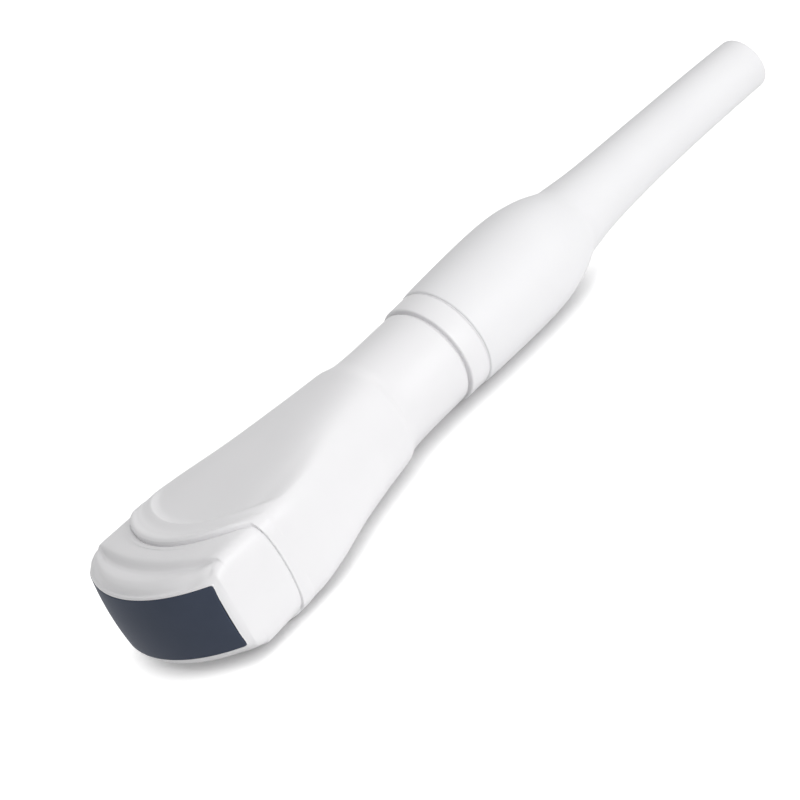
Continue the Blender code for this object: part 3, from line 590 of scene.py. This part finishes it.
outer_layer_resin = worked_finish(
    "outer_layer_resin", (0.44, 0.31, 0.16), (0.36, 0.25, 0.13),
    roughness=0.46, spread=0.08, scale=3000.0, stretch=(1.0, 0.06, 1.0), depth=0.000006,
)
inner_layer_resin = worked_finish(
    "inner_layer_resin", (0.30, 0.27, 0.24), (0.23, 0.21, 0.19),
    roughness=0.42, spread=0.08, scale=3000.0, stretch=(1.0, 1.0, 0.06), depth=0.000006,
)
dress(outer_layer_resin, "outer_matching_layer")
dress(inner_layer_resin, "inner_matching_layer")


# Piezo array: a curved bar of lead zirconate ceramic, fired, poled and then sawn into elements, so its faces
# keep the fine lines of the saw


def ceramic_material():
    material, tree, shader = new_material("fired_ceramic")
    saw_lines = noise(tree, 4200.0, 2.0, (1.0, 1.0, 0.04))
    paint(tree, shader, noise(tree, 500.0, 5.0), (0.52, 0.46, 0.33), (0.66, 0.60, 0.46), 0.38, 0.62)
    polish(tree, shader, noise(tree, 900.0), 0.52, 0.68)
    emboss(tree, shader, saw_lines, 0.000008, 0.5)
    return material


dress(ceramic_material(), "piezo_array")


# Backing block: resin cast behind the array and loaded with tungsten powder, which takes up the sound that
# leaves the array's back. Grains of the powder catch the light


def loaded_resin_material():
    material, tree, shader = new_material("loaded_resin")
    place = tree.nodes.new("ShaderNodeTexCoord")
    grains = add_node(tree, "ShaderNodeTexVoronoi", scale=2600.0)
    tree.links.new(place.outputs["Object"], grains.inputs["Vector"])
    paint(tree, shader, grains.outputs["Distance"], (0.30, 0.30, 0.31), (0.085, 0.085, 0.095), 0.06, 0.24)
    polish(tree, shader, grains.outputs["Distance"], 0.40, 0.85)
    emboss(tree, shader, noise(tree, 1500.0), 0.00002)
    return material


dress(loaded_resin_material(), "backing_block")


# Array carrier: a frame of glass-filled plastic, moulded and glued into the nosepiece. Its short fibres show
# as a faint streaky grain

glass_filled_plastic = worked_finish(
    "glass_filled_plastic", (0.13, 0.13, 0.14), (0.10, 0.10, 0.11),
    roughness=0.50, spread=0.09, scale=1400.0, stretch=(1.0, 0.25, 1.0), depth=0.00002,
)
dress(glass_filled_plastic, "array_carrier")


# Nose seal: a moulded cord of black rubber, pressed into the corner between the nosepiece's spigot and the
# grip, where it keeps gel and cleaning fluid out of the seam

black_rubber = moulded_plastic(
    "black_rubber", (0.026, 0.026, 0.027), (0.018, 0.018, 0.019),
    roughness=0.66, grain_scale=1600.0, grain_depth=0.00003, cloud_scale=160.0,
)
dress(black_rubber, "nose_seal")


# Flex circuits: polyimide film with one copper line for each element, glued to the array's long edges and led
# back to the connectors. The lines show through the film as fine stripes

line_pitch = 0.0005


def waves(tree, pitch, direction):
    """Straight bands at a pitch in metres, across the direction."""
    place = tree.nodes.new("ShaderNodeTexCoord")
    bands = add_node(tree, "ShaderNodeTexWave", scale=math.pi / 10 / pitch)
    bands.bands_direction = direction
    tree.links.new(place.outputs["Object"], bands.inputs["Vector"])
    return bands.outputs["Fac"]


def polyimide_material():
    material, tree, shader = new_material("polyimide_film")
    shader.inputs["IOR"].default_value = 1.70
    lines = waves(tree, line_pitch, "Y")
    paint(tree, shader, lines, (0.46, 0.20, 0.045), (0.66, 0.36, 0.13), 0.40, 0.60)
    polish(tree, shader, noise(tree, 220.0), 0.26, 0.40)
    emboss(tree, shader, lines, 0.00002, 0.5)
    return material


dress(polyimide_material(), "flex_circuit_upper", "flex_circuit_lower")


# Termination boards and their connectors: glass cloth laminate under green solder resist, whose weave prints
# through, and moulded housings with a row of contact slots that grip the flex circuits

weave_pitch = 0.00045
contact_pitch = 0.0010


def laminate_material():
    material, tree, shader = new_material("green_laminate")
    weave = arithmetic(tree, "ADD", waves(tree, weave_pitch, "X"), waves(tree, weave_pitch, "Y"))
    patches = noise(tree, 420.0, 1.0, (0.15, 1.0, 1.0))
    paint(tree, shader, patches, (0.022, 0.13, 0.06), (0.045, 0.20, 0.10), 0.47, 0.53)
    polish(tree, shader, noise(tree, 150.0), 0.36, 0.50)
    emboss(tree, shader, weave, 0.00001, 0.4)
    return material


def slotted_plastic_material():
    material, tree, shader = new_material("slotted_plastic")
    slots = waves(tree, contact_pitch, "Y")
    # The slots are painted darker than the housing: painted shade in their openings
    paint(tree, shader, slots, (0.05, 0.05, 0.055), (0.15, 0.15, 0.16), 0.25, 0.45)
    polish(tree, shader, noise(tree, 200.0), 0.42, 0.56)
    emboss(tree, shader, slots, 0.00008, 0.6)
    return material


dress(laminate_material(), "termination_board_upper", "termination_board_lower")
dress(slotted_plastic_material(), "flex_connector_upper", "flex_connector_lower")


# Chassis plate: sheet steel, blanked to its outline and brushed lengthwise. It carries both boards and ties
# the array's end to the cable clamp's

brushed_steel = worked_finish(
    "brushed_steel", (0.58, 0.59, 0.60), (0.52, 0.53, 0.54),
    roughness=0.30, spread=0.09, scale=2400.0, stretch=(0.03, 1.0, 1.0), depth=0.000006, metallic=1.0,
)
dress(brushed_steel, "chassis_plate")


# Board spacers: four brass stubs, turned from bar and pressed into the chassis plate. They hold the boards
# clear of it, and the tool leaves fine rings round them

turned_brass = worked_finish(
    "turned_brass", (0.74, 0.58, 0.30), (0.66, 0.50, 0.25),
    roughness=0.28, spread=0.08, scale=3600.0, stretch=(0.05, 0.05, 1.0), depth=0.000006, metallic=1.0,
)
for end in ("front", "rear"):
    dress(turned_brass, f"board_spacer_{end}_left", f"board_spacer_{end}_right")


# Screws: small pan heads with a cross recess, headed and rolled from steel wire and zinc plated. Eight hold
# the boards on their spacers, and two draw the clamp's halves together

plated_steel = worked_finish(
    "plated_steel", (0.60, 0.61, 0.64), (0.50, 0.51, 0.53),
    roughness=0.28, spread=0.10, scale=2600.0, stretch=(1.0, 1.0, 0.3), depth=0.000008, metallic=1.0,
)
screw_shank_radius = 0.0008
screw_head_radius = 0.0015
screw_head_height = 0.0009
recess_width = 0.00032
recess_length = 0.0017
recess_depth = 0.0005
screw_crease_angle = math.radians(40)
beyond_shank = screw_shank_radius * 1.3
# The block under the seat, in head radii, and how far down the shank's middle lies, in shank lengths
seat_block_width = 3.0
shank_middle = 0.499


def new_tree(name, lengths, counts=()):
    """A Geometry Nodes tree with the named inputs, one for the finish among them, and its end nodes."""
    tree = bpy.data.node_groups.new(name, "GeometryNodeTree")
    inputs = [("Geometry", "Geometry")] + [(label, "Float") for label in lengths]
    inputs += [(label, "Int") for label in counts] + [("Finish", "Material")]
    for label, kind in inputs:
        tree.interface.new_socket(label, in_out="INPUT", socket_type="NodeSocket" + kind)
    tree.interface.new_socket("Geometry", in_out="OUTPUT", socket_type="NodeSocketGeometry")
    return tree, tree.nodes.new("NodeGroupInput"), tree.nodes.new("NodeGroupOutput")


def grown_mesh(name, seed_mesh, tree, sizes):
    """The plain mesh that a tree makes from a seed mesh, with its named inputs set before it first runs."""
    seed = bpy.data.objects.new(name + "_seed", seed_mesh)
    growth = seed.modifiers.new("growth", "NODES")
    growth.node_group = tree
    for socket in tree.interface.items_tree:
        if socket.in_out == "INPUT" and socket.name in sizes:
            growth[socket.identifier] = sizes[socket.name]
    bpy.context.scene.collection.objects.link(seed)
    evaluated = seed.evaluated_get(bpy.context.evaluated_depsgraph_get())
    mesh = bpy.data.meshes.new_from_object(evaluated)
    mesh.name = name
    for empty in reversed([place for place, held in enumerate(mesh.materials) if held is None]):
        mesh.materials.pop(index=empty)
    seed.modifiers.remove(growth)
    bpy.data.objects.remove(seed)
    return mesh


def at_height(tree, geometry, height):
    """The geometry, moved along Z by a height that a socket gives."""
    place = tree.nodes.new("ShaderNodeCombineXYZ")
    tree.links.new(height, place.inputs["Z"])
    moved = tree.nodes.new("GeometryNodeTransform")
    tree.links.new(geometry, moved.inputs["Geometry"])
    tree.links.new(place.outputs["Vector"], moved.inputs["Translation"])
    return moved.outputs["Geometry"]


def finish_tree(tree, ends, geometry):
    """Ends a tree in Realize Instances and Set Material."""
    given, result = ends
    real = tree.nodes.new("GeometryNodeRealizeInstances")
    painted = tree.nodes.new("GeometryNodeSetMaterial")
    tree.links.new(geometry, real.inputs["Geometry"])
    tree.links.new(real.outputs["Geometry"], painted.inputs["Geometry"])
    tree.links.new(given.outputs["Finish"], painted.inputs["Material"])
    tree.links.new(painted.outputs["Geometry"], result.inputs["Geometry"])


def screw_tree():
    """One screw on each point of the seed: its seat at the point, its head up, turned as the point says."""
    lengths = (
        "Head Radius", "Head Height", "Shank Radius", "Shank Length",
        "Recess Width", "Recess Length", "Recess Depth",
    )
    tree, given, result = new_tree("screws_on_points", lengths)
    size = given.outputs
    dome = add_node(tree, "GeometryNodeMeshUVSphere", segments=20, rings=10)
    tree.links.new(size["Head Radius"], dome.inputs["Radius"])
    flatten = tree.nodes.new("ShaderNodeCombineXYZ")
    flatten.inputs["X"].default_value = 1.0
    flatten.inputs["Y"].default_value = 1.0
    tree.links.new(arithmetic(tree, "DIVIDE", size["Head Height"], size["Head Radius"]), flatten.inputs["Z"])
    flat_dome = tree.nodes.new("GeometryNodeTransform")
    tree.links.new(dome.outputs["Mesh"], flat_dome.inputs["Geometry"])
    tree.links.new(flatten.outputs["Vector"], flat_dome.inputs["Scale"])
    under = tree.nodes.new("GeometryNodeMeshCube")
    block = tree.nodes.new("ShaderNodeCombineXYZ")
    wide = arithmetic(tree, "MULTIPLY", size["Head Radius"], seat_block_width)
    for axis in "XYZ":
        tree.links.new(wide, block.inputs[axis])
    tree.links.new(block.outputs["Vector"], under.inputs["Size"])
    block_height = arithmetic(tree, "MULTIPLY", size["Head Radius"], -seat_block_width / 2)
    low_block = at_height(tree, under.outputs["Mesh"], block_height)
    shank = add_node(tree, "GeometryNodeMeshCylinder", vertices=16)
    tree.links.new(size["Shank Radius"], shank.inputs["Radius"])
    tree.links.new(size["Shank Length"], shank.inputs["Depth"])
    shank_height = arithmetic(tree, "MULTIPLY", size["Shank Length"], -shank_middle)
    low_shank = at_height(tree, shank.outputs["Mesh"], shank_height)
    slots = tree.nodes.new("GeometryNodeJoinGeometry")
    for first, second in (("Recess Length", "Recess Width"), ("Recess Width", "Recess Length")):
        slot = tree.nodes.new("GeometryNodeMeshCube")
        oblong = tree.nodes.new("ShaderNodeCombineXYZ")
        tree.links.new(size[first], oblong.inputs["X"])
        tree.links.new(size[second], oblong.inputs["Y"])
        tree.links.new(arithmetic(tree, "MULTIPLY", size["Recess Depth"], 2.0), oblong.inputs["Z"])
        tree.links.new(oblong.outputs["Vector"], slot.inputs["Size"])
        tree.links.new(at_height(tree, slot.outputs["Mesh"], size["Head Height"]), slots.inputs["Geometry"])
    head = tree.nodes.new("GeometryNodeMeshBoolean")
    head.solver = "EXACT"
    head.operation = "DIFFERENCE"
    head.inputs["Self Intersection"].default_value = True
    tree.links.new(flat_dome.outputs["Geometry"], head.inputs["Mesh 1"])
    tree.links.new(low_block, head.inputs["Mesh 2"])
    tree.links.new(slots.outputs["Geometry"], head.inputs["Mesh 2"])
    screw = tree.nodes.new("GeometryNodeMeshBoolean")
    screw.solver = "EXACT"
    screw.operation = "UNION"
    tree.links.new(head.outputs["Mesh"], screw.inputs["Mesh 2"])
    tree.links.new(low_shank, screw.inputs["Mesh 2"])
    placed = tree.nodes.new("GeometryNodeInstanceOnPoints")
    tree.links.new(size["Geometry"], placed.inputs["Points"])
    tree.links.new(screw.outputs["Mesh"], placed.inputs["Instance"])
    turn = tree.nodes.new("GeometryNodeInputNamedAttribute")
    turn.data_type = "FLOAT_VECTOR"
    turn.inputs["Name"].default_value = "turn"
    tree.links.new(turn.outputs["Attribute"], placed.inputs["Rotation"])
    finish_tree(tree, (given, result), placed.outputs["Instances"])
    return tree


def screws(name, nodes, tree):
    """Replaces the CAD screws with detailed ones, each with its head on the side where the CAD's is."""
    places = []
    turns = []
    for node in nodes:
        low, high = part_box(node)
        points = np.array([vertex.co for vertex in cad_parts[node].data.vertices])
        across = np.hypot(points[:, 0] - (low.x + high.x) / 2, points[:, 1] - (low.y + high.y) / 2)
        head_up = points[across > beyond_shank, 2].mean() > (low.z + high.z) / 2
        seat = high.z - screw_head_height if head_up else low.z + screw_head_height
        places.append(((low.x + high.x) / 2, (low.y + high.y) / 2, seat))
        turns += (0.0, 0.0, 0.0) if head_up else (math.pi, 0.0, 0.0)
    seed = bpy.data.meshes.new(name + "_points")
    seed.from_pydata(places, [], [])
    turn = seed.attributes.new("turn", "FLOAT_VECTOR", "POINT")
    turn.data.foreach_set("vector", turns)
    mesh = grown_mesh(name, seed, tree, {
        "Head Radius": screw_head_radius, "Head Height": screw_head_height,
        "Shank Radius": screw_shank_radius, "Shank Length": high.z - low.z - screw_head_height,
        "Recess Width": recess_width, "Recess Length": recess_length, "Recess Depth": recess_depth,
        "Finish": plated_steel,
    })
    mesh.shade_smooth()
    mesh.set_sharp_from_angle(angle=screw_crease_angle)
    piece = new_piece(name, mesh, plated_steel)
    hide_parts(*nodes)
    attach(piece, "root")


screw_maker = screw_tree()
screws("board_screws", [
    f"board_screw_{side}_{end}_{hand}"
    for side in ("upper", "lower") for end in ("front", "rear") for hand in ("left", "right")
], screw_maker)
screws("clamp_screws", ["clamp_screw_left", "clamp_screw_right"], screw_maker)


# Shield sleeve: soft copper sheet, formed to the inside of the grip and soldered along one edge. It has
# dulled in patches since it was rolled

rolled_copper = worked_finish(
    "rolled_copper", (0.78, 0.43, 0.27), (0.58, 0.29, 0.16),
    roughness=0.34, spread=0.10, scale=1500.0, stretch=(0.06, 1.0, 1.0), depth=0.00001, metallic=1.0,
)
dress(rolled_copper, "shield_sleeve")


# Grip housing: one satin white moulding from the wide head to the round neck. A raised lip borders the seam,
# a bowed ridge fronts a shallow dish on each wide face, and a small shoulder starts the neck

grip_length = 0.0818
neck_length = 0.0252
neck_radius = 0.0138
neck_root_radius = 0.01435
shoulder_height = 0.0005
shoulder_length = 0.0042
neck_wall = 0.0019
dish_depth = 0.0009
inner_inset = 0.0026
dish_place = 0.0395
dish_bow = 0.0140
flare_end_squareness = 2.3
neck_end_round = 0.0005
sleeve_hold = 0.0134
sleeve_lead = 0.0010
neck_end = seam_side + grip_length
shoulder_start = neck_end - neck_length
sleeve_start = neck_end - sleeve_hold
socket_half_width = spigot_half_width + seat_gap
socket_half_height = spigot_half_height + seat_gap
neck_bore_radius = neck_radius - neck_wall

# Places along the flare, and how much of the head's width and squareness is left there
flare_places = (0.0, 0.17, 0.385, 0.60, 0.81, 1.0)
flare_shares = (1.0, 0.985, 0.79, 0.467, 0.235, 0.10)
squareness_places = (0.0, 0.20, 0.5, 1.0)
squareness_shares = (1.0, 0.82, 0.38, 0.0)
height_fall_end = 0.75
# Rows over the lip: how far they lie behind the seam's groove, and the share of the lip's height
lip_rows = ((0.0002, 0.0), (0.0006, 0.75), (0.0011, 1.0), (0.0017, 0.75), (0.0026, 0.15), (0.0036, -0.15))
# Rows over the ridge and into the dish: place, bow, drop
ridge_rows = (
    (dish_place - 0.0075, dish_bow - 0.0025, 0.0002),
    (dish_place - 0.0035, dish_bow - 0.0010, 0.0),
    (dish_place - 0.0020, dish_bow, dish_depth * 0.35),
    (dish_place, dish_bow, dish_depth),
)
# Rows from the dish to the shoulder: share of the way, and the share of the dish's bow
dish_rows = ((0.12, 0.60), (0.24, 0.25), (0.36, 0.0), (0.50, 0.0), (0.64, 0.0), (0.78, 0.0), (0.91, 0.0))
dish_end = 0.64
# A row on the shoulder: share of its length, shares of its height at the sides and on top, squareness
shoulder_row = (0.45, 0.62, 0.55, 2.15)
# A row on the neck: share of its length, and the share of its taper that is left there
neck_row = (0.30, 0.35)
inside_shares = (0.95, 0.72, 0.48, 0.24)


def flowing(place, places, values):
    """A smooth curve through the values at the places, which never swings past them."""
    places = np.asarray(places, float)
    values = np.asarray(values, float)
    rises = np.diff(values) / np.diff(places)
    slopes = np.concatenate([[rises[0]], (rises[:-1] + rises[1:]) / 2, [rises[-1]]])
    for step, rise in enumerate(rises):
        for end in (step, step + 1):
            if slopes[end] * rise <= 0:
                slopes[end] = 0.0
            elif abs(slopes[end]) > 3 * abs(rise):
                slopes[end] = 3 * rise
    place = min(max(place, places[0]), places[-1])
    step = min(int(np.searchsorted(places, place, side="right")) - 1, len(rises) - 1)
    width = places[step + 1] - places[step]
    t = (place - places[step]) / width
    near = values[step] * (1 + 2 * t) * (1 - t) ** 2 + slopes[step] * width * t * (1 - t) ** 2
    far = values[step + 1] * t * t * (3 - 2 * t) - slopes[step + 1] * width * t * t * (1 - t)
    return float(near + far)


def flare_share(place):
    """How far along the flare a place is, from 0 at the seam to 1 at the shoulder."""
    return (place - seam_side) / (shoulder_start - seam_side)


def grip_half_width(place):
    share = flowing(flare_share(place), flare_places, flare_shares)
    return neck_root_radius + (head_half_width - neck_root_radius) * share


def grip_half_height(place):
    """Level over the head, then drawn in to the shoulder."""
    end = neck_root_radius + shoulder_height
    return end + (head_half_height - end) * (1 - float(smooth_rise(flare_share(place) / height_fall_end)))


def grip_squareness(place):
    share = flowing(flare_share(place), squareness_places, squareness_shares)
    return flare_end_squareness + (head_squareness - flare_end_squareness) * share


def grip_row(place, bow=0.0, drop=0.0, inset=0.0):
    width = grip_half_width(place) - inset
    height = grip_half_height(place) - inset
    return row(bowed(place, bow, width), width, height, grip_squareness(place), drop)


def round_row(place, radius):
    return row(level(place), radius, radius, 2.0)


def add_grip():
    width = head_half_width
    height = head_half_height
    edge_width = nose_half_width - seam_edge_inset
    edge_height = nose_half_height - seam_edge_drop
    skin = [row(seam_line(seam_groove), edge_width, edge_height, head_squareness, seam_drop)]
    for behind, raised in lip_rows:
        lip_line = seam_line(seam_groove + behind)
        skin.append(row(lip_line, width, height, head_squareness, -lip_height * raised))
    for place, bow, drop in ridge_rows:
        skin.append(grip_row(place, bow, drop))
    fall = shoulder_start - dish_place
    for share, bow in dish_rows:
        drop = dish_depth * (1 - float(smooth_rise(share / dish_end)))
        skin.append(grip_row(dish_place + fall * share, dish_bow * bow, drop))
    shoulder_end = shoulder_start + shoulder_length
    along, beside, above, squareness = shoulder_row
    way, taper_left = neck_row
    taper = (neck_root_radius - neck_radius) * taper_left
    skin += [
        grip_row(shoulder_start),
        row(level(shoulder_start + shoulder_length * along), neck_root_radius + shoulder_height * beside,
            neck_root_radius + shoulder_height * above, squareness),
        round_row(shoulder_end, neck_root_radius),
        round_row(shoulder_end + neck_length * way, neck_radius + taper),
        round_row(neck_end - neck_end_round, neck_radius),
        round_row(neck_end, neck_radius - neck_end_round),
    ]
    inside = [
        round_row(neck_end, neck_bore_radius),
        round_row(sleeve_start - sleeve_lead, neck_bore_radius),
    ]
    for share in inside_shares:
        inside.append(grip_row(seam_side + (shoulder_start - seam_side) * share, inset=inner_inset))
    inside.append(row(level(spigot_end + seat_gap), socket_half_width, socket_half_height, head_squareness))
    inside.append(row(seam_line(seam_groove), socket_half_width, socket_half_height, head_squareness))
    mesh = shell_mesh("white_grip", rows_between(skin, row_spacing * 2) + inside)
    piece = new_piece("white_grip", mesh, shell_plastic)
    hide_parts("grip_housing")
    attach(piece, "root")


add_grip()


# Coupling sleeve and O-rings: a turned sleeve of the glass-filled plastic, bonded into the neck. It carries
# the trim ring and the boot, and a rubber ring in a groove seals it at each end

dress(glass_filled_plastic, "coupling_sleeve")
dress(black_rubber, "neck_o_ring", "boot_o_ring")


# Trim ring: a separate band, moulded in the shell's plastic and bonded on the coupling sleeve, a little
# prouder than the neck. Low flanges at its ends are the floors of the front groove and of the rear one

ring_radius = (ring_high.z - ring_low.z) / 2
ring_start = ring_low.x - probe_front
ring_end = ring_high.x - probe_front
sleeve_radius = neck_bore_radius - seat_gap
ring_edge = 0.0005
front_groove_depth = 0.0008
rear_groove_depth = 0.0005
neck_clearance = 0.0001
boot_clearance = 0.00005
steps_around = 224
merge_reach = 0.000001
boot_low, boot_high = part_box("bend_relief_boot")
boot_start = boot_low.x - probe_front
boot_front_radius = 0.01485


def rounded_corner(place, radius, edge, start_angle, steps=6):
    """Profile points (x, radius) on a quarter circle of the edge's size, from the start angle on."""
    angles = [start_angle - math.pi / 2 * i / steps for i in range(steps + 1)]
    return [(place + edge * math.cos(angle), radius + edge * math.sin(angle)) for angle in angles]


def turned_tree():
    """Turns the seed's closed outline about the probe's axis, then lets its tail hang below the axis."""
    lengths = ("Mean Radius", "Droop", "Tail Start", "Tail Length", "Axis Height")
    tree, given, result = new_tree("turned_on_the_axis", lengths, ("Steps Around",))
    size = given.outputs
    outline = tree.nodes.new("GeometryNodeMeshToCurve")
    tree.links.new(size["Geometry"], outline.inputs["Mesh"])
    round_path = tree.nodes.new("GeometryNodeCurvePrimitiveCircle")
    tree.links.new(size["Steps Around"], round_path.inputs["Resolution"])
    tree.links.new(size["Mean Radius"], round_path.inputs["Radius"])
    swept = tree.nodes.new("GeometryNodeCurveToMesh")
    tree.links.new(round_path.outputs["Curve"], swept.inputs["Curve"])
    tree.links.new(outline.outputs["Curve"], swept.inputs["Profile Curve"])
    laid = tree.nodes.new("GeometryNodeTransform")
    laid.inputs["Rotation"].default_value = (0.0, -math.pi / 2, 0.0)
    tree.links.new(swept.outputs["Mesh"], laid.inputs["Geometry"])
    place = tree.nodes.new("GeometryNodeInputPosition")
    along = tree.nodes.new("ShaderNodeSeparateXYZ")
    tree.links.new(place.outputs["Position"], along.inputs["Vector"])
    behind = arithmetic(tree, "SUBTRACT", along.outputs["X"], size["Tail Start"])
    share = arithmetic(tree, "MAXIMUM", arithmetic(tree, "DIVIDE", behind, size["Tail Length"]), 0.0)
    fall = arithmetic(tree, "MULTIPLY", arithmetic(tree, "MULTIPLY", share, share), size["Droop"])
    hang = tree.nodes.new("ShaderNodeCombineXYZ")
    tree.links.new(arithmetic(tree, "SUBTRACT", size["Axis Height"], fall), hang.inputs["Z"])
    moved = tree.nodes.new("GeometryNodeSetPosition")
    tree.links.new(laid.outputs["Geometry"], moved.inputs["Geometry"])
    tree.links.new(hang.outputs["Vector"], moved.inputs["Offset"])
    finish_tree(tree, (given, result), moved.outputs["Geometry"])
    return tree


axis_turner = turned_tree()


def turned_mesh(name, profile, finish, droop=0.0, tail_start=0.0, tail_length=1.0):
    """A closed profile of points (place, radius) turned about the probe's axis."""
    mean = sum(radius for place, radius in profile) / len(profile)
    points = [(radius - mean, place + probe_front, 0.0) for place, radius in profile]
    count = len(points)
    seed = bpy.data.meshes.new(name + "_outline")
    seed.from_pydata(points, [(i, (i + 1) % count) for i in range(count)], [])
    mesh = grown_mesh(name, seed, axis_turner, {
        "Mean Radius": mean, "Droop": droop, "Tail Start": tail_start + probe_front,
        "Tail Length": tail_length, "Axis Height": axis_height, "Steps Around": steps_around,
        "Finish": finish,
    })
    outward_and_smooth(mesh, merge_reach)
    return mesh


def add_trim_ring():
    front = neck_end + neck_clearance
    back = boot_start - boot_clearance
    bore = sleeve_radius + seat_gap
    front_floor = neck_radius - front_groove_depth
    rear_floor = boot_front_radius - rear_groove_depth
    profile = [(front, front_floor), (ring_start, front_floor)]
    profile += rounded_corner(ring_start + ring_edge, ring_radius - ring_edge, ring_edge, math.pi)
    profile += rounded_corner(ring_end - ring_edge, ring_radius - ring_edge, ring_edge, math.pi / 2)
    profile += [(ring_end, rear_floor), (back, rear_floor), (back, bore), (front, bore)]
    mesh = turned_mesh("white_trim_ring", profile, shell_plastic)
    piece = new_piece("white_trim_ring", mesh, shell_plastic)
    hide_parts("trim_ring")
    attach(piece, "root")


add_trim_ring()


# Cable clamp: two half rings of the glass-filled plastic, drawn together on the cable's jacket by the two
# screws, so that a pull on the cable ends here

dress(glass_filled_plastic, "cable_clamp_upper", "cable_clamp_lower")


# Braid ferrule: a brass ring, turned from tube and crimped over the cable's braid, which it ties to the
# shield. The crimping tool leaves fine lines round it

crimped_brass = worked_finish(
    "crimped_brass", (0.74, 0.58, 0.30), (0.62, 0.46, 0.22),
    roughness=0.32, spread=0.09, scale=3200.0, stretch=(1.0, 0.05, 0.05), depth=0.00001, metallic=1.0,
)
dress(crimped_brass, "braid_ferrule")


# Bend relief boot: soft white overmoulding, pulled over the sleeve. Its bulb covers the cable clamp, and its
# long tail stiffens the cable and hangs a little by its own weight

boot_end = boot_high.x - probe_front
boot_length = boot_end - boot_start
bulb_radius = (boot_high.y - boot_low.y) / 2
bulb_length = 0.0490
boot_tail_radius = 0.0092
boot_end_radius = 0.00755
boot_front_round = 0.0005
boot_end_round = 0.0010
boot_rows_start = 0.0015
boot_rows = 170
boot_droop = 0.0028
cable_bore_radius = 0.0044
bore_round = 0.0003
bore_rows = 24
clamp_end = 0.1431
ferrule_space = 0.003
ferrule_length = 0.0075
counterbore_step = 0.0020
ferrule_start = clamp_end + 4 * seat_gap + ferrule_space
ferrule_end = ferrule_start + ferrule_length
counterbore_radius = cable_bore_radius + counterbore_step
# Places along the bulb and along the tail, and how much of the draw-in is done at the bulb's end
bulb_places = (0.0, 0.12, 0.42, 0.70, 0.86, 1.0)
tail_places = (0.0, 0.14, 0.40, 1.0)
bulb_end_draw = 0.80

boot_plastic = moulded_plastic(
    "soft_white_boot", (0.806, 0.804, 0.816), (0.790, 0.788, 0.801),
    roughness=0.50, grain_scale=2000.0, grain_depth=0.00003, cloud_scale=30.0,
)


def boot_radius(place):
    """The boot's outline: a long bulb, a quick draw-in and a slow taper."""
    share = (place - boot_start) / bulb_length
    draw = bulb_radius - boot_tail_radius
    if share < 1.0:
        values = (boot_front_radius, bulb_radius - 0.0002, bulb_radius, bulb_radius - draw * 0.10,
                  bulb_radius - draw * 0.37, bulb_radius - draw * bulb_end_draw)
        return flowing(share, bulb_places, values)
    left = (place - boot_start - bulb_length) / (boot_length - bulb_length)
    waist = boot_end_radius + (boot_tail_radius - boot_end_radius) * 0.45
    values = (bulb_radius - draw * bulb_end_draw, boot_tail_radius, waist, boot_end_radius)
    return flowing(left, tail_places, values)


def add_boot():
    front_edge = boot_front_round
    end_edge = boot_end_round
    profile = rounded_corner(boot_start + front_edge, boot_front_radius - front_edge, front_edge, math.pi)
    for place in np.linspace(boot_start + boot_rows_start, boot_end - end_edge, boot_rows)[:-1]:
        profile.append((place, boot_radius(place)))
    profile += rounded_corner(boot_end - end_edge, boot_end_radius - end_edge, end_edge, math.pi / 2)
    profile += rounded_corner(boot_end - bore_round, cable_bore_radius + bore_round, bore_round, 0.0)[:4]
    tail_length = boot_length - bulb_length
    for share in np.linspace(0.02, 1.0, bore_rows):
        profile.append((boot_end - tail_length * share, cable_bore_radius))
    profile += [
        (ferrule_end + seat_gap, cable_bore_radius), (ferrule_end + seat_gap, counterbore_radius),
        (ferrule_start - seat_gap, counterbore_radius), (clamp_end + seat_gap, sleeve_radius + seat_gap),
        (boot_start, sleeve_radius + seat_gap),
    ]
    mesh = turned_mesh("white_boot", profile, boot_plastic, boot_droop, boot_start + bulb_length, tail_length)
    piece = new_piece("white_boot", mesh, boot_plastic)
    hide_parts("bend_relief_boot")
    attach(piece, "root")


add_boot()
